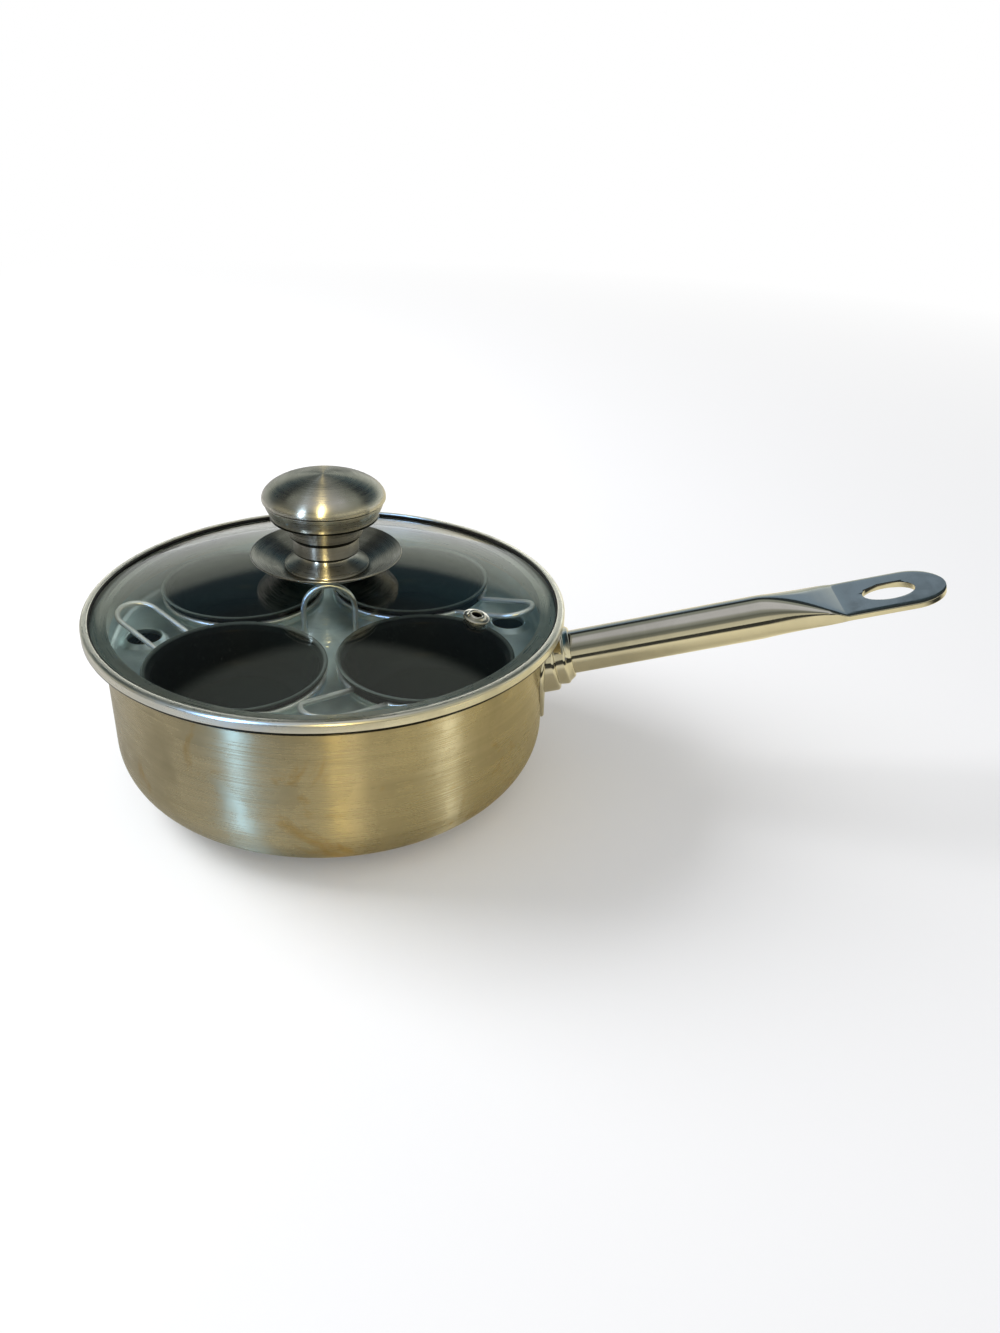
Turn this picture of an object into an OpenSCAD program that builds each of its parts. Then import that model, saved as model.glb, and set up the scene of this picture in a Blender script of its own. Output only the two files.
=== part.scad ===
// Four-cup egg poacher: a steel saucepan, a drop-in tray, four lift-out cups and a domed glass lid.
// The origin is the centre of the base, on the surface that the pan stands on. +Z is up, and the
// handle runs out along +X.

/* [Pan] */
// Outer radius of the pan's wall
pan_r = 92.3; // [76:0.1:112]
// Thickness of the pan's sheet steel
pan_t = 0.9; // [0.6:0.1:1.4]
// Height of the rim that the tray and the lid rest on
rim_h = 75; // [62:0.5:95]
// Outer radius of the bend between the wall and the bottom
corner_r = 23; // [15:0.5:30]
// Outer radius of the bend that flares the wall out into the rim
flare_r = 4.2; // [3:0.1:6]
// Width of the flat, level part of the rim
rim_flat = 2; // [1.5:0.1:4]

/* [Base] */
// Radius of the heat-spreading base
base_r = 70; // [55:0.5:85]
// Height of the base under the pan's bottom
base_h = 3.2; // [2.4:0.1:6]
// Thickness of the steel cap round the base's aluminium core
cap_t = 0.6; // [0.4:0.1:1]
// Radius of the base's lower edge
base_edge_r = 2; // [1.2:0.1:2.4]

/* [Handle] */
// Length from the wall to the tip, along the handle
handle_len = 170; // [130:1:210]
// Angle that the handle rises from level
handle_tilt = 14.5; // [5:0.5:22]
// How far below the rim the handle's axis leaves the wall
handle_drop = 19.7; // [18:0.1:24]
// Outer diameter of the handle's tube
tube_d = 18.7; // [14:0.1:20]
// Thickness of the tube's wall
tube_t = 1.2; // [0.8:0.1:1.6]
// Length of the end that is pressed flat
flat_len = 43; // [38:0.5:60]
// Length over which the round tube turns flat
press_len = 34; // [15:1:40]
// Width of the flat end
flat_w = 30.4; // [24:0.2:34]
// Length of the oval hole that the pan hangs by
hang_len = 21.4; // [14:0.2:24]
// Width of the oval hole
hang_w = 14; // [8:0.2:16]

/* [Bracket] */
// Thickness of the pressed bracket
bracket_t = 1.4; // [1:0.1:2]
// Radius of the bracket's upper, round part
bracket_r = 17.5; // [16:0.1:19]
// Radius of the bracket's lower tongue
tongue_r = 7; // [5:0.1:9]
// Distance between the centres of those two
tongue_drop = 19; // [14:0.5:24]
// Radius of the bracket's collar at the wall
collar_r = 15.2; // [13:0.1:15.6]
// Length of the collar along the handle
collar_len = 12.5; // [11:0.1:16]

/* [Tray] */
// Thickness of the tray's sheet steel
tray_t = 0.6; // [0.5:0.1:1]
// Depth of the tray's floor below the rim
tray_depth = 12.5; // [11:0.1:16]
// Gap between the tray's wall and the pan's
tray_gap = 0.5; // [0.4:0.1:1]
// Turn of the tray in the pan, away from the handle
tray_turn = 10; // [0:1:45]
// Height of the raised collar round each cup's hole
seat_h = 2.2; // [1.5:0.1:3.5]
// Thickness of that collar
seat_t = 0.8; // [0.6:0.1:1]
// Diameter of the two steam holes
steam_d = 14; // [10:0.5:18]
// Distance of the steam holes from the tray's centre
steam_r = 77; // [60:0.5:79]
// Height of the raised ring round a steam hole
steam_lip_h = 1.6; // [1:0.1:2]

/* [Tray handle] */
// Diameter of the lift handle's wire
lift_wire = 2.4; // [2:0.1:3.5]
// Width of the lift handle between the centres of its legs
lift_w = 21.6; // [18:0.2:24]
// Height of the lift handle's centre line above the tray's floor
lift_h = 21.6; // [19:0.2:21.8]

/* [Cups] */
// Gap between two cups' rims
cup_gap = 3; // [2:0.1:6]
// Gap between a cup's rim and the tray's wall
cup_edge_gap = 1.7; // [1:0.1:4]
// Thickness of a cup's wall
cup_t = 1.2; // [0.8:0.1:1.6]
// Depth of a cup, outside, from its rim
cup_depth = 20.5; // [17:0.5:30]
// Radius of the bend between a cup's wall and its bottom
cup_corner_r = 8; // [5:0.5:9]
// Inward lean of a cup's wall, over its height
cup_lean = 3; // [1:0.1:5]
// Width of a cup's flared rim, seen from above
cup_flare = 2.7; // [2.4:0.1:4]
// Height of that flare
cup_flare_h = 2.4; // [2:0.1:3]

/* [Cup wires] */
// Diameter of the wire that rings each cup
cup_wire = 2.2; // [1.8:0.1:2.2]
// Width of the wire's grip loop, between centres
loop_w = 17.2; // [14:0.2:19]
// Angle that the grip loop rises from level
loop_tilt = 14; // [8:1:15]
// Gap between the loop's end and the tray's wall
loop_edge_gap = 4.7; // [3:0.1:9]

/* [Lid] */
// How far the lid's band stands out past the pan's rim
lid_overhang = 1.5; // [0.5:0.1:3]
// Height of the lid's steel band
band_h = 4.8; // [4.6:0.1:7]
// Thickness of the band's steel
band_t = 0.6; // [0.4:0.1:0.8]
// Width of the lip that holds the glass from above
lip_w = 3; // [2.4:0.1:5]
// Depth of the skirt that centres the lid
skirt_h = 5.5; // [3:0.1:8]
// Gap between the skirt and the tray's wall
skirt_gap = 0.4; // [0.3:0.1:1]
// Thickness of the glass
glass_t = 3; // [2.5:0.1:3]
// Height of the dome above the glass's edge
dome_h = 14.7; // [14:0.1:24]
// Distance of the steam vent from the lid's centre
vent_r = 68.5; // [52:0.5:70]
// Bearing of the vent, from the handle
vent_turn = -22.5; // [-60:0.5:60]
// Diameter of the vent's flange
vent_flange_d = 10.8; // [9:0.1:14]
// Diameter of the hole through the vent
vent_hole_d = 3.4; // [2:0.1:4]

/* [Knob] */
// Radius of the knob at its widest
knob_r = 24.9; // [21:0.1:30]
// Height of the knob from its foot to its top
knob_h = 39.3; // [35:0.1:50]
// Radius of the knob's foot
foot_r = 17.5; // [15:0.1:19]
// Radius of the saucer-shaped plate under the knob
saucer_r = 31; // [28:0.1:36]
// Height that the saucer's edge rises
saucer_h = 6.1; // [3:0.1:8]
// Thickness of the knob's and the saucer's sheet steel
saucer_t = 0.7; // [0.5:0.1:1]
// Diameter of the screw that holds the knob
screw_d = 5; // [4:0.1:6]

/* [Hidden] */
$fn = 96;

// Small gaps between pieces that are joined, and how far a cut runs past what it cuts
fit = 0.1;
past = 1;
// A piece that lifts off lies this far from a round seat
rest = 0.3;

// Rim of the pan, and the tray that hangs from it
rim_r = pan_r + flare_r + rim_flat;
rim_bend_z = rim_h - pan_t - flare_r;
tray_r = pan_r - pan_t - tray_gap;
tray_in_r = tray_r - tray_t;
tray_rim_r = rim_r - 0.2;
tray_bend = flare_r - rest;
tray_floor = rim_h - tray_depth;
tray_corner = 3;
lift_bend = lift_w / 2;

// Where the flat of the pan's bottom ends, and the height of its underside at a radius
flat_r = pan_r - corner_r;
function bottom_z(r) = r <= flat_r ? base_h : base_h + corner_r - sqrt(pow(corner_r, 2) - pow(r - flat_r, 2));

// Cups: four fill the tray, so their rim's size follows from the tray's
cup_rim_r = (tray_in_r - cup_edge_gap - cup_gap / sqrt(2)) / (1 + sqrt(2));
cup_step = cup_rim_r + cup_gap / 2;
cup_out = cup_step * sqrt(2);
cup_wall_r = cup_rim_r - cup_flare;
wire_ring_r = cup_wall_r + rest + cup_wire / 2;
seat_r = wire_ring_r - seat_t / 2;
wire_z = tray_floor + seat_h + rest + cup_wire / 2;
cup_wall_z = wire_z + 0.45;
cup_rim_z = cup_wall_z + cup_flare_h + cup_t;
cup_floor_z = cup_rim_z - cup_depth;
cup_floor_r = cup_wall_r - cup_lean;
loop_reach = sqrt(pow(tray_in_r - loop_edge_gap, 2) - pow(cup_out, 2)) - cup_wire / 2;
loop_leg = (loop_reach - wire_ring_r) / cos(loop_tilt) - loop_w / 2;

// Lid, from the tray's rim upwards
lid_r = rim_r + lid_overhang;
band_z = rim_h + tray_t;
band_top = band_z + band_h;
band_round = 1.4;
band_foot_round = 0.6;
skirt_r = tray_in_r - skirt_gap;
lip_r = lid_r - lip_w;
seal_t = (band_h - 2 * band_t - glass_t) / 2;
glass_r = lid_r - band_t - seal_t - 0.2;
glass_low = band_z + band_t + seal_t;
glass_high = glass_low + glass_t;
dome_edge_r = lid_r - 5.5;
dome_r = (pow(dome_edge_r, 2) + pow(dome_h, 2)) / (2 * dome_h);
glass_top = glass_high + dome_h;
dome_z = glass_top - dome_r;
vent_tilt = asin(vent_r / dome_r);
vent_neck_r = 3.1;

// Knob, from the glass upwards and downwards
screw_r = screw_d / 2;
screw_hole_r = screw_r + 0.3;
pad_t = 0.8;
pad_r = 12;
plate_z = glass_top + pad_t;
foot_z = plate_z + saucer_t;
saucer_flat_r = foot_r + 0.6;
foot_h = knob_h * 0.165;
stem_h = knob_h * 0.183;
under_h = knob_h * 0.226;
head_h = knob_h - foot_h - stem_h - under_h;
stem_z = foot_z + foot_h;
under_z = stem_z + stem_h;
cap_z = under_z + under_h;
widest_z = cap_z + head_h * 0.42;
waist_r = foot_r * 0.65;
stem_r = foot_r * 0.77;
under_r = knob_r * 0.885;
knob_sheet = 1.2;
nut_r = screw_d * 0.92;
nut_h = screw_d * 0.8;
nut_z = under_z + 2.6;
low_pad_z = glass_top - glass_t - 0.25;
low_washer_t = 1;
screw_head_z = low_pad_z - pad_t - low_washer_t;
screw_head_h = 2.1;

// Handle, measured along its own axis from the wall
handle_z = rim_h - handle_drop;
tube_r = tube_d / 2;
tube_from = 3;
flat_from = handle_len - flat_len;
press_from = flat_from - press_len;
hang_at = handle_len - flat_w / 2 - hang_len / 2 + 3;
bracket_z = rim_bend_z - bracket_r - 0.4;

STEEL = [0.72, 0.69, 0.60];
POLISHED = [0.80, 0.78, 0.72];
DARK = [0.12, 0.15, 0.16];
RUBBER = [0.07, 0.07, 0.07];

// Points of an arc about [x, z], from one angle to another
function arc(x, z, r, from, to, steps = 10) =
    [for (i = [0:steps]) let (a = from + (to - from) * i / steps) [x + r * cos(a), z + r * sin(a)]];

// A piece turned about the upright axis, from the outline of its section
module turned(points) {
    rotate_extrude() polygon(points);
}

module ring(outer, inner, height) {
    difference() {
        cylinder(r = outer, h = height);
        translate([0, 0, -past]) cylinder(r = inner, h = height + 2 * past);
    }
}

module pan_body() {
    bend = corner_r;
    flare_x = pan_r + flare_r;
    edge = pan_t / 2;
    color(STEEL) turned(concat(
        [[0, base_h]],
        arc(flat_r, base_h + bend, bend, -90, 0, 14),
        arc(flare_x, rim_bend_z, flare_r, 180, 90),
        arc(rim_r - edge, rim_h - edge, edge, -90, 90, 6),
        arc(flare_x, rim_bend_z, flare_r + pan_t, 90, 180),
        arc(flat_r, base_h + bend, bend - pan_t, 0, -90, 14),
        [[0, base_h + pan_t]]));
}

// The steel cap is a shallow dish. The core fills it, and the pan's bottom closes it.
module base_cap() {
    color(STEEL) turned(concat(
        [[0, 0]],
        arc(base_r - base_edge_r, base_edge_r, base_edge_r, -90, 0, 6),
        [[base_r, bottom_z(base_r)], [base_r - cap_t, bottom_z(base_r - cap_t)]],
        arc(base_r - base_edge_r, base_edge_r, base_edge_r - cap_t, 0, -90, 6),
        [[0, cap_t]]));
}

module base_core() {
    core_r = base_r - cap_t - fit;
    core_edge = base_edge_r - cap_t;
    // Where the base reaches past the flat, the core's top stays just under the pan's bend
    steps = 12;
    past_flat = max(core_r - flat_r, 0);
    under_bend = [for (i = [0:steps - 1]) let (r = core_r - past_flat * i / steps)
        [r, bottom_z(r) - fit * (1 - i / steps)]];
    outer_top = past_flat < fit ? [[core_r, base_h]] : concat(under_bend, [[flat_r, base_h]]);
    color("gainsboro") turned(concat(
        [[0, cap_t]],
        arc(core_r - core_edge, cap_t + core_edge, core_edge, -90, 0, 6),
        outer_top,
        [[0, base_h]]));
}

// Moves to the point where the handle's axis meets the wall, with Z along the handle
module along_handle() {
    translate([pan_r, 0, handle_z]) rotate([0, 90 - handle_tilt, 0]) children();
}

// Outline of two circles joined by straight sides, the smaller one below
function teardrop(big, small, drop) =
    let (side = asin((big - small) / drop))
    concat(arc(0, 0, big, -side, 180 + side, 24), arc(0, -drop, small, 180 + side, 360 - side, 12));

// A plate that hugs the wall, with a two-stepped collar that the tube is welded into
module handle_bracket() {
    wall_gap = pan_r + fit;
    step = collar_len / 2.5;
    color(POLISHED) difference() {
        union() {
            intersection() {
                translate([0, 0, bracket_z - bracket_r - tongue_drop])
                    cylinder(r = wall_gap + bracket_t, h = 2 * bracket_r + tongue_drop + past);
                translate([pan_r / 2, 0, bracket_z]) rotate([90, 0, 90])
                    linear_extrude(pan_r) polygon(teardrop(bracket_r, tongue_r, tongue_drop));
            }
            along_handle() turned(concat(
                [[0, -step], [collar_r, -step]],
                arc(collar_r - 1.5, step - 1.2, 1.5, 0, 60, 5),
                arc(collar_r - 1.9, 2 * step - 1, 1.5, 0, 60, 5),
                [[tube_r + bracket_t + 0.6, collar_len - 0.8],
                    [tube_r + bracket_t, collar_len], [0, collar_len]]));
        }
        cylinder(r = wall_gap, h = rim_h);
        along_handle() translate([0, 0, -collar_r])
            cylinder(r = collar_r - bracket_t - 1, h = collar_r + 2 * step - 1.4);
        along_handle() cylinder(r = tube_r + fit, h = collar_len + past);
    }
}

// The stretch where the round tube is pressed flat, between two closing planes. It widens slowly
// at first and faster near the flat end, so that the length round it hardly changes.
module press(round_r, half_w, half_t, from, to, steps = 8) {
    side = [[-round_r, from], [round_r, from], [half_t, to], [-half_t, to]];
    flank = [for (i = [0:steps]) let (f = i / steps)
        [round_r + (half_w - round_r) * f * f, from + (to - from) * f]];
    intersection() {
        turned(concat([[0, from]], flank, [[0, to]]));
        rotate([90, 0, 0]) translate([0, 0, -half_w]) linear_extrude(2 * half_w) polygon(side);
    }
}

module ellipse(length, width, steps = 48) {
    polygon([for (i = [0:steps - 1]) let (a = 360 * i / steps)
        [length / 2 * cos(a), width / 2 * sin(a)]]);
}

module handle_tube() {
    bore_r = tube_r - tube_t;
    color(POLISHED) along_handle() difference() {
        union() {
            translate([0, 0, tube_from]) cylinder(r = tube_r, h = press_from - tube_from);
            press(tube_r, flat_w / 2, tube_t, press_from, flat_from);
            // The flat end lies across Y, with its outline drawn along the handle
            translate([tube_t, 0, 0]) rotate([0, -90, 0]) linear_extrude(2 * tube_t) {
                translate([flat_from, -flat_w / 2]) square([flat_len - flat_w / 2, flat_w]);
                translate([handle_len - flat_w / 2, 0]) circle(d = flat_w);
            }
        }
        translate([0, 0, tube_from - past]) cylinder(r = bore_r, h = press_from - tube_from + past);
        press(bore_r, flat_w / 2 - tube_t, 0.05, press_from, flat_from - tube_t);
        translate([tube_t + past, 0, 0]) rotate([0, -90, 0]) linear_extrude(2 * tube_t + 2 * past)
            translate([hang_at, 0]) ellipse(hang_len, hang_w);
    }
}

// Places its children at a cup, with X along the cup's grip loop
module at_cup(i) {
    rotate(tray_turn + 45 + 90 * i) translate([cup_out, 0, 0]) rotate(-90) children();
}

// A dish that hangs by its rim, pierced for the cups and for two steam holes
module tray_plate() {
    tray_low = tray_floor - tray_t;
    bend_z = rim_h - tray_bend;
    bend_x = tray_r + tray_bend;
    color(STEEL) difference() {
        union() {
            turned(concat(
                [[0, tray_low]],
                arc(tray_r - tray_corner, tray_low + tray_corner, tray_corner, -90, 0, 6),
                arc(bend_x, bend_z, tray_bend, 180, 90, 8),
                [[tray_rim_r, rim_h], [tray_rim_r, rim_h + tray_t]],
                arc(bend_x, bend_z, tray_bend + tray_t, 90, 180, 8),
                arc(tray_r - tray_corner, tray_low + tray_corner, tray_corner - tray_t, 0, -90, 6),
                [[0, tray_floor]]));
            for (i = [0:3]) at_cup(i) translate([0, 0, tray_low])
                cylinder(r = seat_r + seat_t, h = tray_t + seat_h);
            for (side = [0, 180]) rotate(tray_turn + side) translate([steam_r, 0, tray_low])
                cylinder(d1 = steam_d + 6, d2 = steam_d + 2, h = tray_t + steam_lip_h);
        }
        for (i = [0:3]) at_cup(i) translate([0, 0, tray_low - past])
            cylinder(r = seat_r, h = tray_t + seat_h + 2 * past);
        for (side = [0, 180]) rotate(tray_turn + side) translate([steam_r, 0, tray_low - past])
            cylinder(d = steam_d, h = tray_t + steam_lip_h + 2 * past);
    }
}

// A wire arch that the tray is lifted by, with its feet welded to the tray's floor
module tray_handle() {
    leg = lift_h - lift_bend;
    color(POLISHED) rotate(tray_turn) translate([0, 0, tray_floor]) {
        for (side = [-1, 1]) translate([side * lift_bend, 0, 0]) cylinder(d = lift_wire, h = leg);
        translate([0, 0, leg]) rotate([90, 0, 0]) rotate_extrude(angle = 180)
            translate([lift_bend, 0]) circle(d = lift_wire, $fn = 32);
    }
}

module cup(i) {
    bend = cup_corner_r;
    inner = bend - cup_t;
    color(DARK) at_cup(i) turned(concat(
        [[0, cup_floor_z]],
        arc(cup_floor_r - bend, cup_floor_z + bend, bend, -90, 0, 8),
        [[cup_wall_r, cup_wall_z], [cup_rim_r, cup_rim_z - cup_t]],
        arc(cup_rim_r - cup_t / 2, cup_rim_z - cup_t / 2, cup_t / 2, 0, 120, 5),
        [[cup_wall_r - cup_t, cup_wall_z + cup_t / 3]],
        arc(cup_floor_r - bend, cup_floor_z + bend, inner, 0, -90, 8),
        [[0, cup_floor_z + cup_t]]));
}

// A wire ring that rests on the tray's collar and carries the cup, with a grip loop
module cup_wire(i) {
    r = cup_wire / 2;
    color(POLISHED) at_cup(i) translate([0, 0, wire_z]) {
        rotate_extrude() translate([wire_ring_r, 0]) circle(r = r, $fn = 32);
        translate([wire_ring_r, 0, 0]) rotate([0, -loop_tilt, 0]) {
            for (side = [-1, 1]) translate([-1.5, side * loop_w / 2, 0]) rotate([0, 90, 0])
                cylinder(r = r, h = loop_leg + 1.5, $fn = 32);
            translate([loop_leg, 0, 0]) rotate([0, 0, -90]) rotate_extrude(angle = 180)
                translate([loop_w / 2, 0]) circle(r = r, $fn = 32);
        }
    }
}

// Points of the dome's surface, at the given depth in the glass, between two radii
function dome_line(depth, from, to, steps = 24) =
    let (r = dome_r - depth, a0 = asin(from / r), a1 = asin(to / r))
    [for (i = [0:steps]) let (a = a0 + (a1 - a0) * i / steps) [r * sin(a), dome_z + r * cos(a)]];

// Moves to the vent, with Z square to the glass
module at_vent() {
    rotate(vent_turn) translate([vent_r, 0, dome_z + dome_r * cos(vent_tilt)])
        rotate([0, vent_tilt, 0]) children();
}

module lid_glass() {
    inner_edge_r = sqrt(pow(dome_r - glass_t, 2) - pow(glass_low - dome_z, 2));
    color([0.80, 0.88, 0.86, 0.35]) difference() {
        turned(concat(
            dome_line(0, screw_hole_r, dome_edge_r),
            [[glass_r, glass_high], [glass_r, glass_low]],
            dome_line(glass_t, inner_edge_r, screw_hole_r)));
        at_vent() translate([0, 0, -2 * glass_t]) cylinder(r = vent_neck_r + 2 * fit, h = 4 * glass_t);
    }
}

// A channel that grips the glass, with a flange to rest on and a skirt inside the tray
module lid_band() {
    side = lid_r - band_t;
    color(POLISHED) turned(concat(
        [[skirt_r, band_z - skirt_h], [skirt_r, band_z]],
        arc(lid_r - band_foot_round, band_z + band_foot_round, band_foot_round, -90, 0, 4),
        arc(lid_r - band_round, band_top - band_round, band_round, 0, 90, 8),
        [[lip_r, band_top], [lip_r, band_top - band_t]],
        arc(lid_r - band_round, band_top - band_round, band_round - band_t, 90, 0, 6),
        [[side, band_z + band_t], [skirt_r - band_t, band_z + band_t],
            [skirt_r - band_t, band_z - skirt_h]]));
}

// A soft channel round the glass's edge, with a bead that shows inside the lip
module lid_seal() {
    outer = glass_r + 0.15;
    bead_r = lip_r - 1.3;
    color(RUBBER) turned([
        [dome_edge_r, glass_low - seal_t], [outer, glass_low - seal_t],
        [outer, glass_high - fit], [glass_r - seal_t, glass_high + seal_t],
        [lip_r - fit, glass_high + seal_t],
        [lip_r - fit - 0.1, band_top - 0.1], [bead_r + 0.4, band_top - 0.1],
        [bead_r, glass_high + seal_t], [bead_r, glass_high],
        [glass_r, glass_high], [glass_r, glass_low], [dome_edge_r, glass_low]]);
}

module vent_eyelet() {
    flange = vent_flange_d / 2;
    hole = vent_hole_d / 2;
    color(POLISHED) at_vent() turned([
        [hole, -glass_t - 1.3], [vent_neck_r, -glass_t - 1.3], [vent_neck_r, 0],
        [flange, 0], [flange, 0.7], [flange - 0.5, 1.1], [flange - 1.4, 1.1],
        [flange - 1.7, 1.7], [hole + 1.1, 1.9], [hole, 1.2]]);
}

module vent_washer() {
    color(STEEL) at_vent() translate([0, 0, -glass_t - 1.1])
        ring(vent_flange_d / 2 - 0.5, vent_neck_r + fit / 2, 1);
}

module knob_plate() {
    run = saucer_r - saucer_flat_r;
    slope = [for (i = [0:8]) let (x = i / 8) [saucer_flat_r + run * x, saucer_h * pow(x, 1.25)]];
    color(STEEL) turned(concat(
        [[screw_hole_r, plate_z]],
        [for (p = slope) [p[0], plate_z + p[1]]],
        [for (i = [8:-1:0]) [slope[i][0], plate_z + saucer_t + slope[i][1]]],
        [[screw_hole_r, foot_z]]));
}

module knob_foot() {
    top = stem_z;
    curve = [for (i = [0:8]) let (x = i / 8)
        [foot_r - 0.3 - (foot_r - 0.3 - waist_r) * sin(90 * x), foot_z + 1.6 + (foot_h - 2.1) * x]];
    color(STEEL) turned(concat(
        [[screw_hole_r, foot_z], [foot_r - 0.6, foot_z], [foot_r, foot_z + 0.6], [foot_r, foot_z + 1.1]],
        curve,
        [[waist_r, top], [screw_hole_r, top]]));
}

module knob_stem() {
    color(STEEL) turned([
        [screw_hole_r, stem_z], [waist_r, stem_z], [stem_r - 0.6, stem_z + 0.7],
        [stem_r - 0.2, stem_z + stem_h / 2], [stem_r + 0.2, under_z - 0.4], [stem_r - 0.2, under_z],
        [screw_hole_r, under_z]]);
}

module knob_under() {
    neck = stem_r + 0.9;
    color(STEEL) difference() {
        turned([
            [screw_hole_r, under_z], [neck, under_z], [neck + 0.6, under_z + 0.6],
            [neck + 1, under_z + 1.4], [neck + 3.4, under_z + under_h * 0.42],
            [under_r - 0.4, cap_z - 1], [under_r, cap_z], [screw_hole_r, cap_z]]);
        translate([0, 0, nut_z]) cylinder(r = nut_r + fit, h = under_h, $fn = 6);
    }
}

module knob_nut() {
    color("silver") translate([0, 0, nut_z]) difference() {
        cylinder(r = nut_r, h = nut_h, $fn = 6);
        translate([0, 0, -past]) cylinder(r = screw_r + fit / 2, h = nut_h + 2 * past);
    }
}

// A domed shell: the side rises and swells from the lower edge, then an ellipse closes the top
module knob_cap() {
    rise = widest_z - cap_z;
    dome = head_h - rise;
    sheet = knob_sheet;
    color(STEEL) turned(concat(
        [for (i = [0:5]) let (a = 90 * i / 5)
            [under_r + 0.2 + (knob_r - under_r - 0.2) * sin(a), cap_z + rise * (i / 5)]],
        [for (i = [1:16]) let (a = 90 * i / 16) [knob_r * cos(a), widest_z + dome * sin(a)]],
        [for (i = [16:-1:1]) let (a = 90 * i / 16)
            [(knob_r - sheet) * cos(a), widest_z + (dome - sheet) * sin(a)]],
        [for (i = [5:-1:0]) let (a = 90 * i / 5)
            [under_r + 0.2 - sheet + (knob_r - under_r - 0.2) * sin(a), cap_z + rise * (i / 5)]]));
}

// A pan-head screw, put in from under the glass
module knob_screw() {
    head_r = screw_d * 0.95;
    tip = nut_z + nut_h + 0.6;
    color("silver") difference() {
        turned([
            [0, screw_head_z - screw_head_h], [head_r - 1, screw_head_z - screw_head_h],
            [head_r, screw_head_z - screw_head_h + 1], [head_r, screw_head_z],
            [screw_r, screw_head_z], [screw_r, tip - 0.5], [screw_r - 0.5, tip], [0, tip]]);
        translate([0, 0, screw_head_z - screw_head_h - past]) for (turn = [0, 90]) rotate(turn)
            translate([-screw_r, -0.5, 0]) cube([screw_d, 1, past + 1.2]);
    }
}

module knob_washer() {
    color("silver") translate([0, 0, screw_head_z]) ring(pad_r - 1.5, screw_hole_r, low_washer_t);
}

module gasket_upper() {
    color(RUBBER) translate([0, 0, glass_top]) ring(pad_r, screw_hole_r, pad_t);
}

module gasket_lower() {
    color(RUBBER) translate([0, 0, low_pad_z - pad_t]) ring(pad_r - 1, screw_hole_r, pad_t);
}

pan_body();
base_core();
base_cap();
handle_bracket();
handle_tube();
tray_plate();
tray_handle();
cup(0);  // cup_1
cup(1);  // cup_2
cup(2);  // cup_3
cup(3);  // cup_4
cup_wire(0);  // cup_wire_1
cup_wire(1);  // cup_wire_2
cup_wire(2);  // cup_wire_3
cup_wire(3);  // cup_wire_4
lid_glass();
lid_band();
lid_seal();
vent_eyelet();
vent_washer();
knob_plate();
knob_foot();
knob_stem();
knob_under();
knob_cap();
knob_nut();
knob_screw();
knob_washer();
gasket_upper();
gasket_lower();
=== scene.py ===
# %% [markdown]
# # Egg poacher pan
# This lesson dresses a finished mechanical model of an egg poacher pan: a brushed steel saucepan,
# a drop-in tray with four non-stick cups, and a domed glass lid with a steel knob.
# The mechanical model is the frame. It says where every piece is, and it never changes here.
# Each piece that shows is made again with finer rounding, from the sizes of the node it stands for.

# %% Load the frame
import math
import bmesh
import bpy
from mathutils import Matrix, Vector


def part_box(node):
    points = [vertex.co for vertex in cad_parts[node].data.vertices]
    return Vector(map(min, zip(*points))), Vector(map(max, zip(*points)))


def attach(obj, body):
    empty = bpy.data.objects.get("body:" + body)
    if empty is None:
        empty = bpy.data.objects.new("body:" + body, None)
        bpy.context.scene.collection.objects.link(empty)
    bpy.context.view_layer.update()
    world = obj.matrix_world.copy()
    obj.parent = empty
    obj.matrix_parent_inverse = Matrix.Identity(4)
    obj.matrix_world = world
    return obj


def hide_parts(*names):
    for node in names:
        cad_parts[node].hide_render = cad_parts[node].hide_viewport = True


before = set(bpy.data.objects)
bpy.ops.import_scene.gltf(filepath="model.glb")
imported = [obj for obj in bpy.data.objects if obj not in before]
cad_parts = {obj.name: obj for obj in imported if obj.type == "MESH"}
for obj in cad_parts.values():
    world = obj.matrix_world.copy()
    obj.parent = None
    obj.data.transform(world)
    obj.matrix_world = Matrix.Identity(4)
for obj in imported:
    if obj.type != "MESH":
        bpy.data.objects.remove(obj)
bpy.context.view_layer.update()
MM = 0.001

# %% [markdown]
# ## From corners to pieces
# A piece is built as a bmesh, which is Blender's editable mesh in code: corners are added, and
# then faces between them. Each finished piece is shaded smoothly, rides on one of the frame's
# bodies, so that it moves with it, and takes the place of one of the frame's nodes.

# %% Piece tools
def add_object(name, data):
    """A new object for a mesh, curve, lamp or camera, linked into the scene."""
    thing = bpy.data.objects.new(name, data)
    bpy.context.scene.collection.objects.link(thing)
    return thing


def mesh_from(name, bm):
    """Empties a bmesh into a new mesh."""
    mesh = bpy.data.meshes.new(name)
    bm.to_mesh(mesh)
    bm.free()
    return mesh


def smooth(mesh, sharp):
    """Shades a mesh smoothly, except at edges bent by more than `sharp` degrees."""
    mesh.shade_smooth()
    mesh.set_sharp_from_angle(angle=math.radians(sharp))


def ride_on(name, mesh, body, node):
    """A piece that moves with a body and takes the place of one of the frame's nodes."""
    piece = add_object(name, mesh)
    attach(piece, body)
    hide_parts(node)
    return piece


def finish_mesh(name, bm, body, node, sharp=35):
    """Turns a bmesh into a smooth-shaded piece that rides on a body."""
    bmesh.ops.remove_doubles(bm, verts=bm.verts, dist=1e-6)
    bmesh.ops.recalc_face_normals(bm, faces=bm.faces)
    mesh = mesh_from(name, bm)
    smooth(mesh, sharp)
    return ride_on(name, mesh, body, node)


print("piece tools ready")

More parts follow.
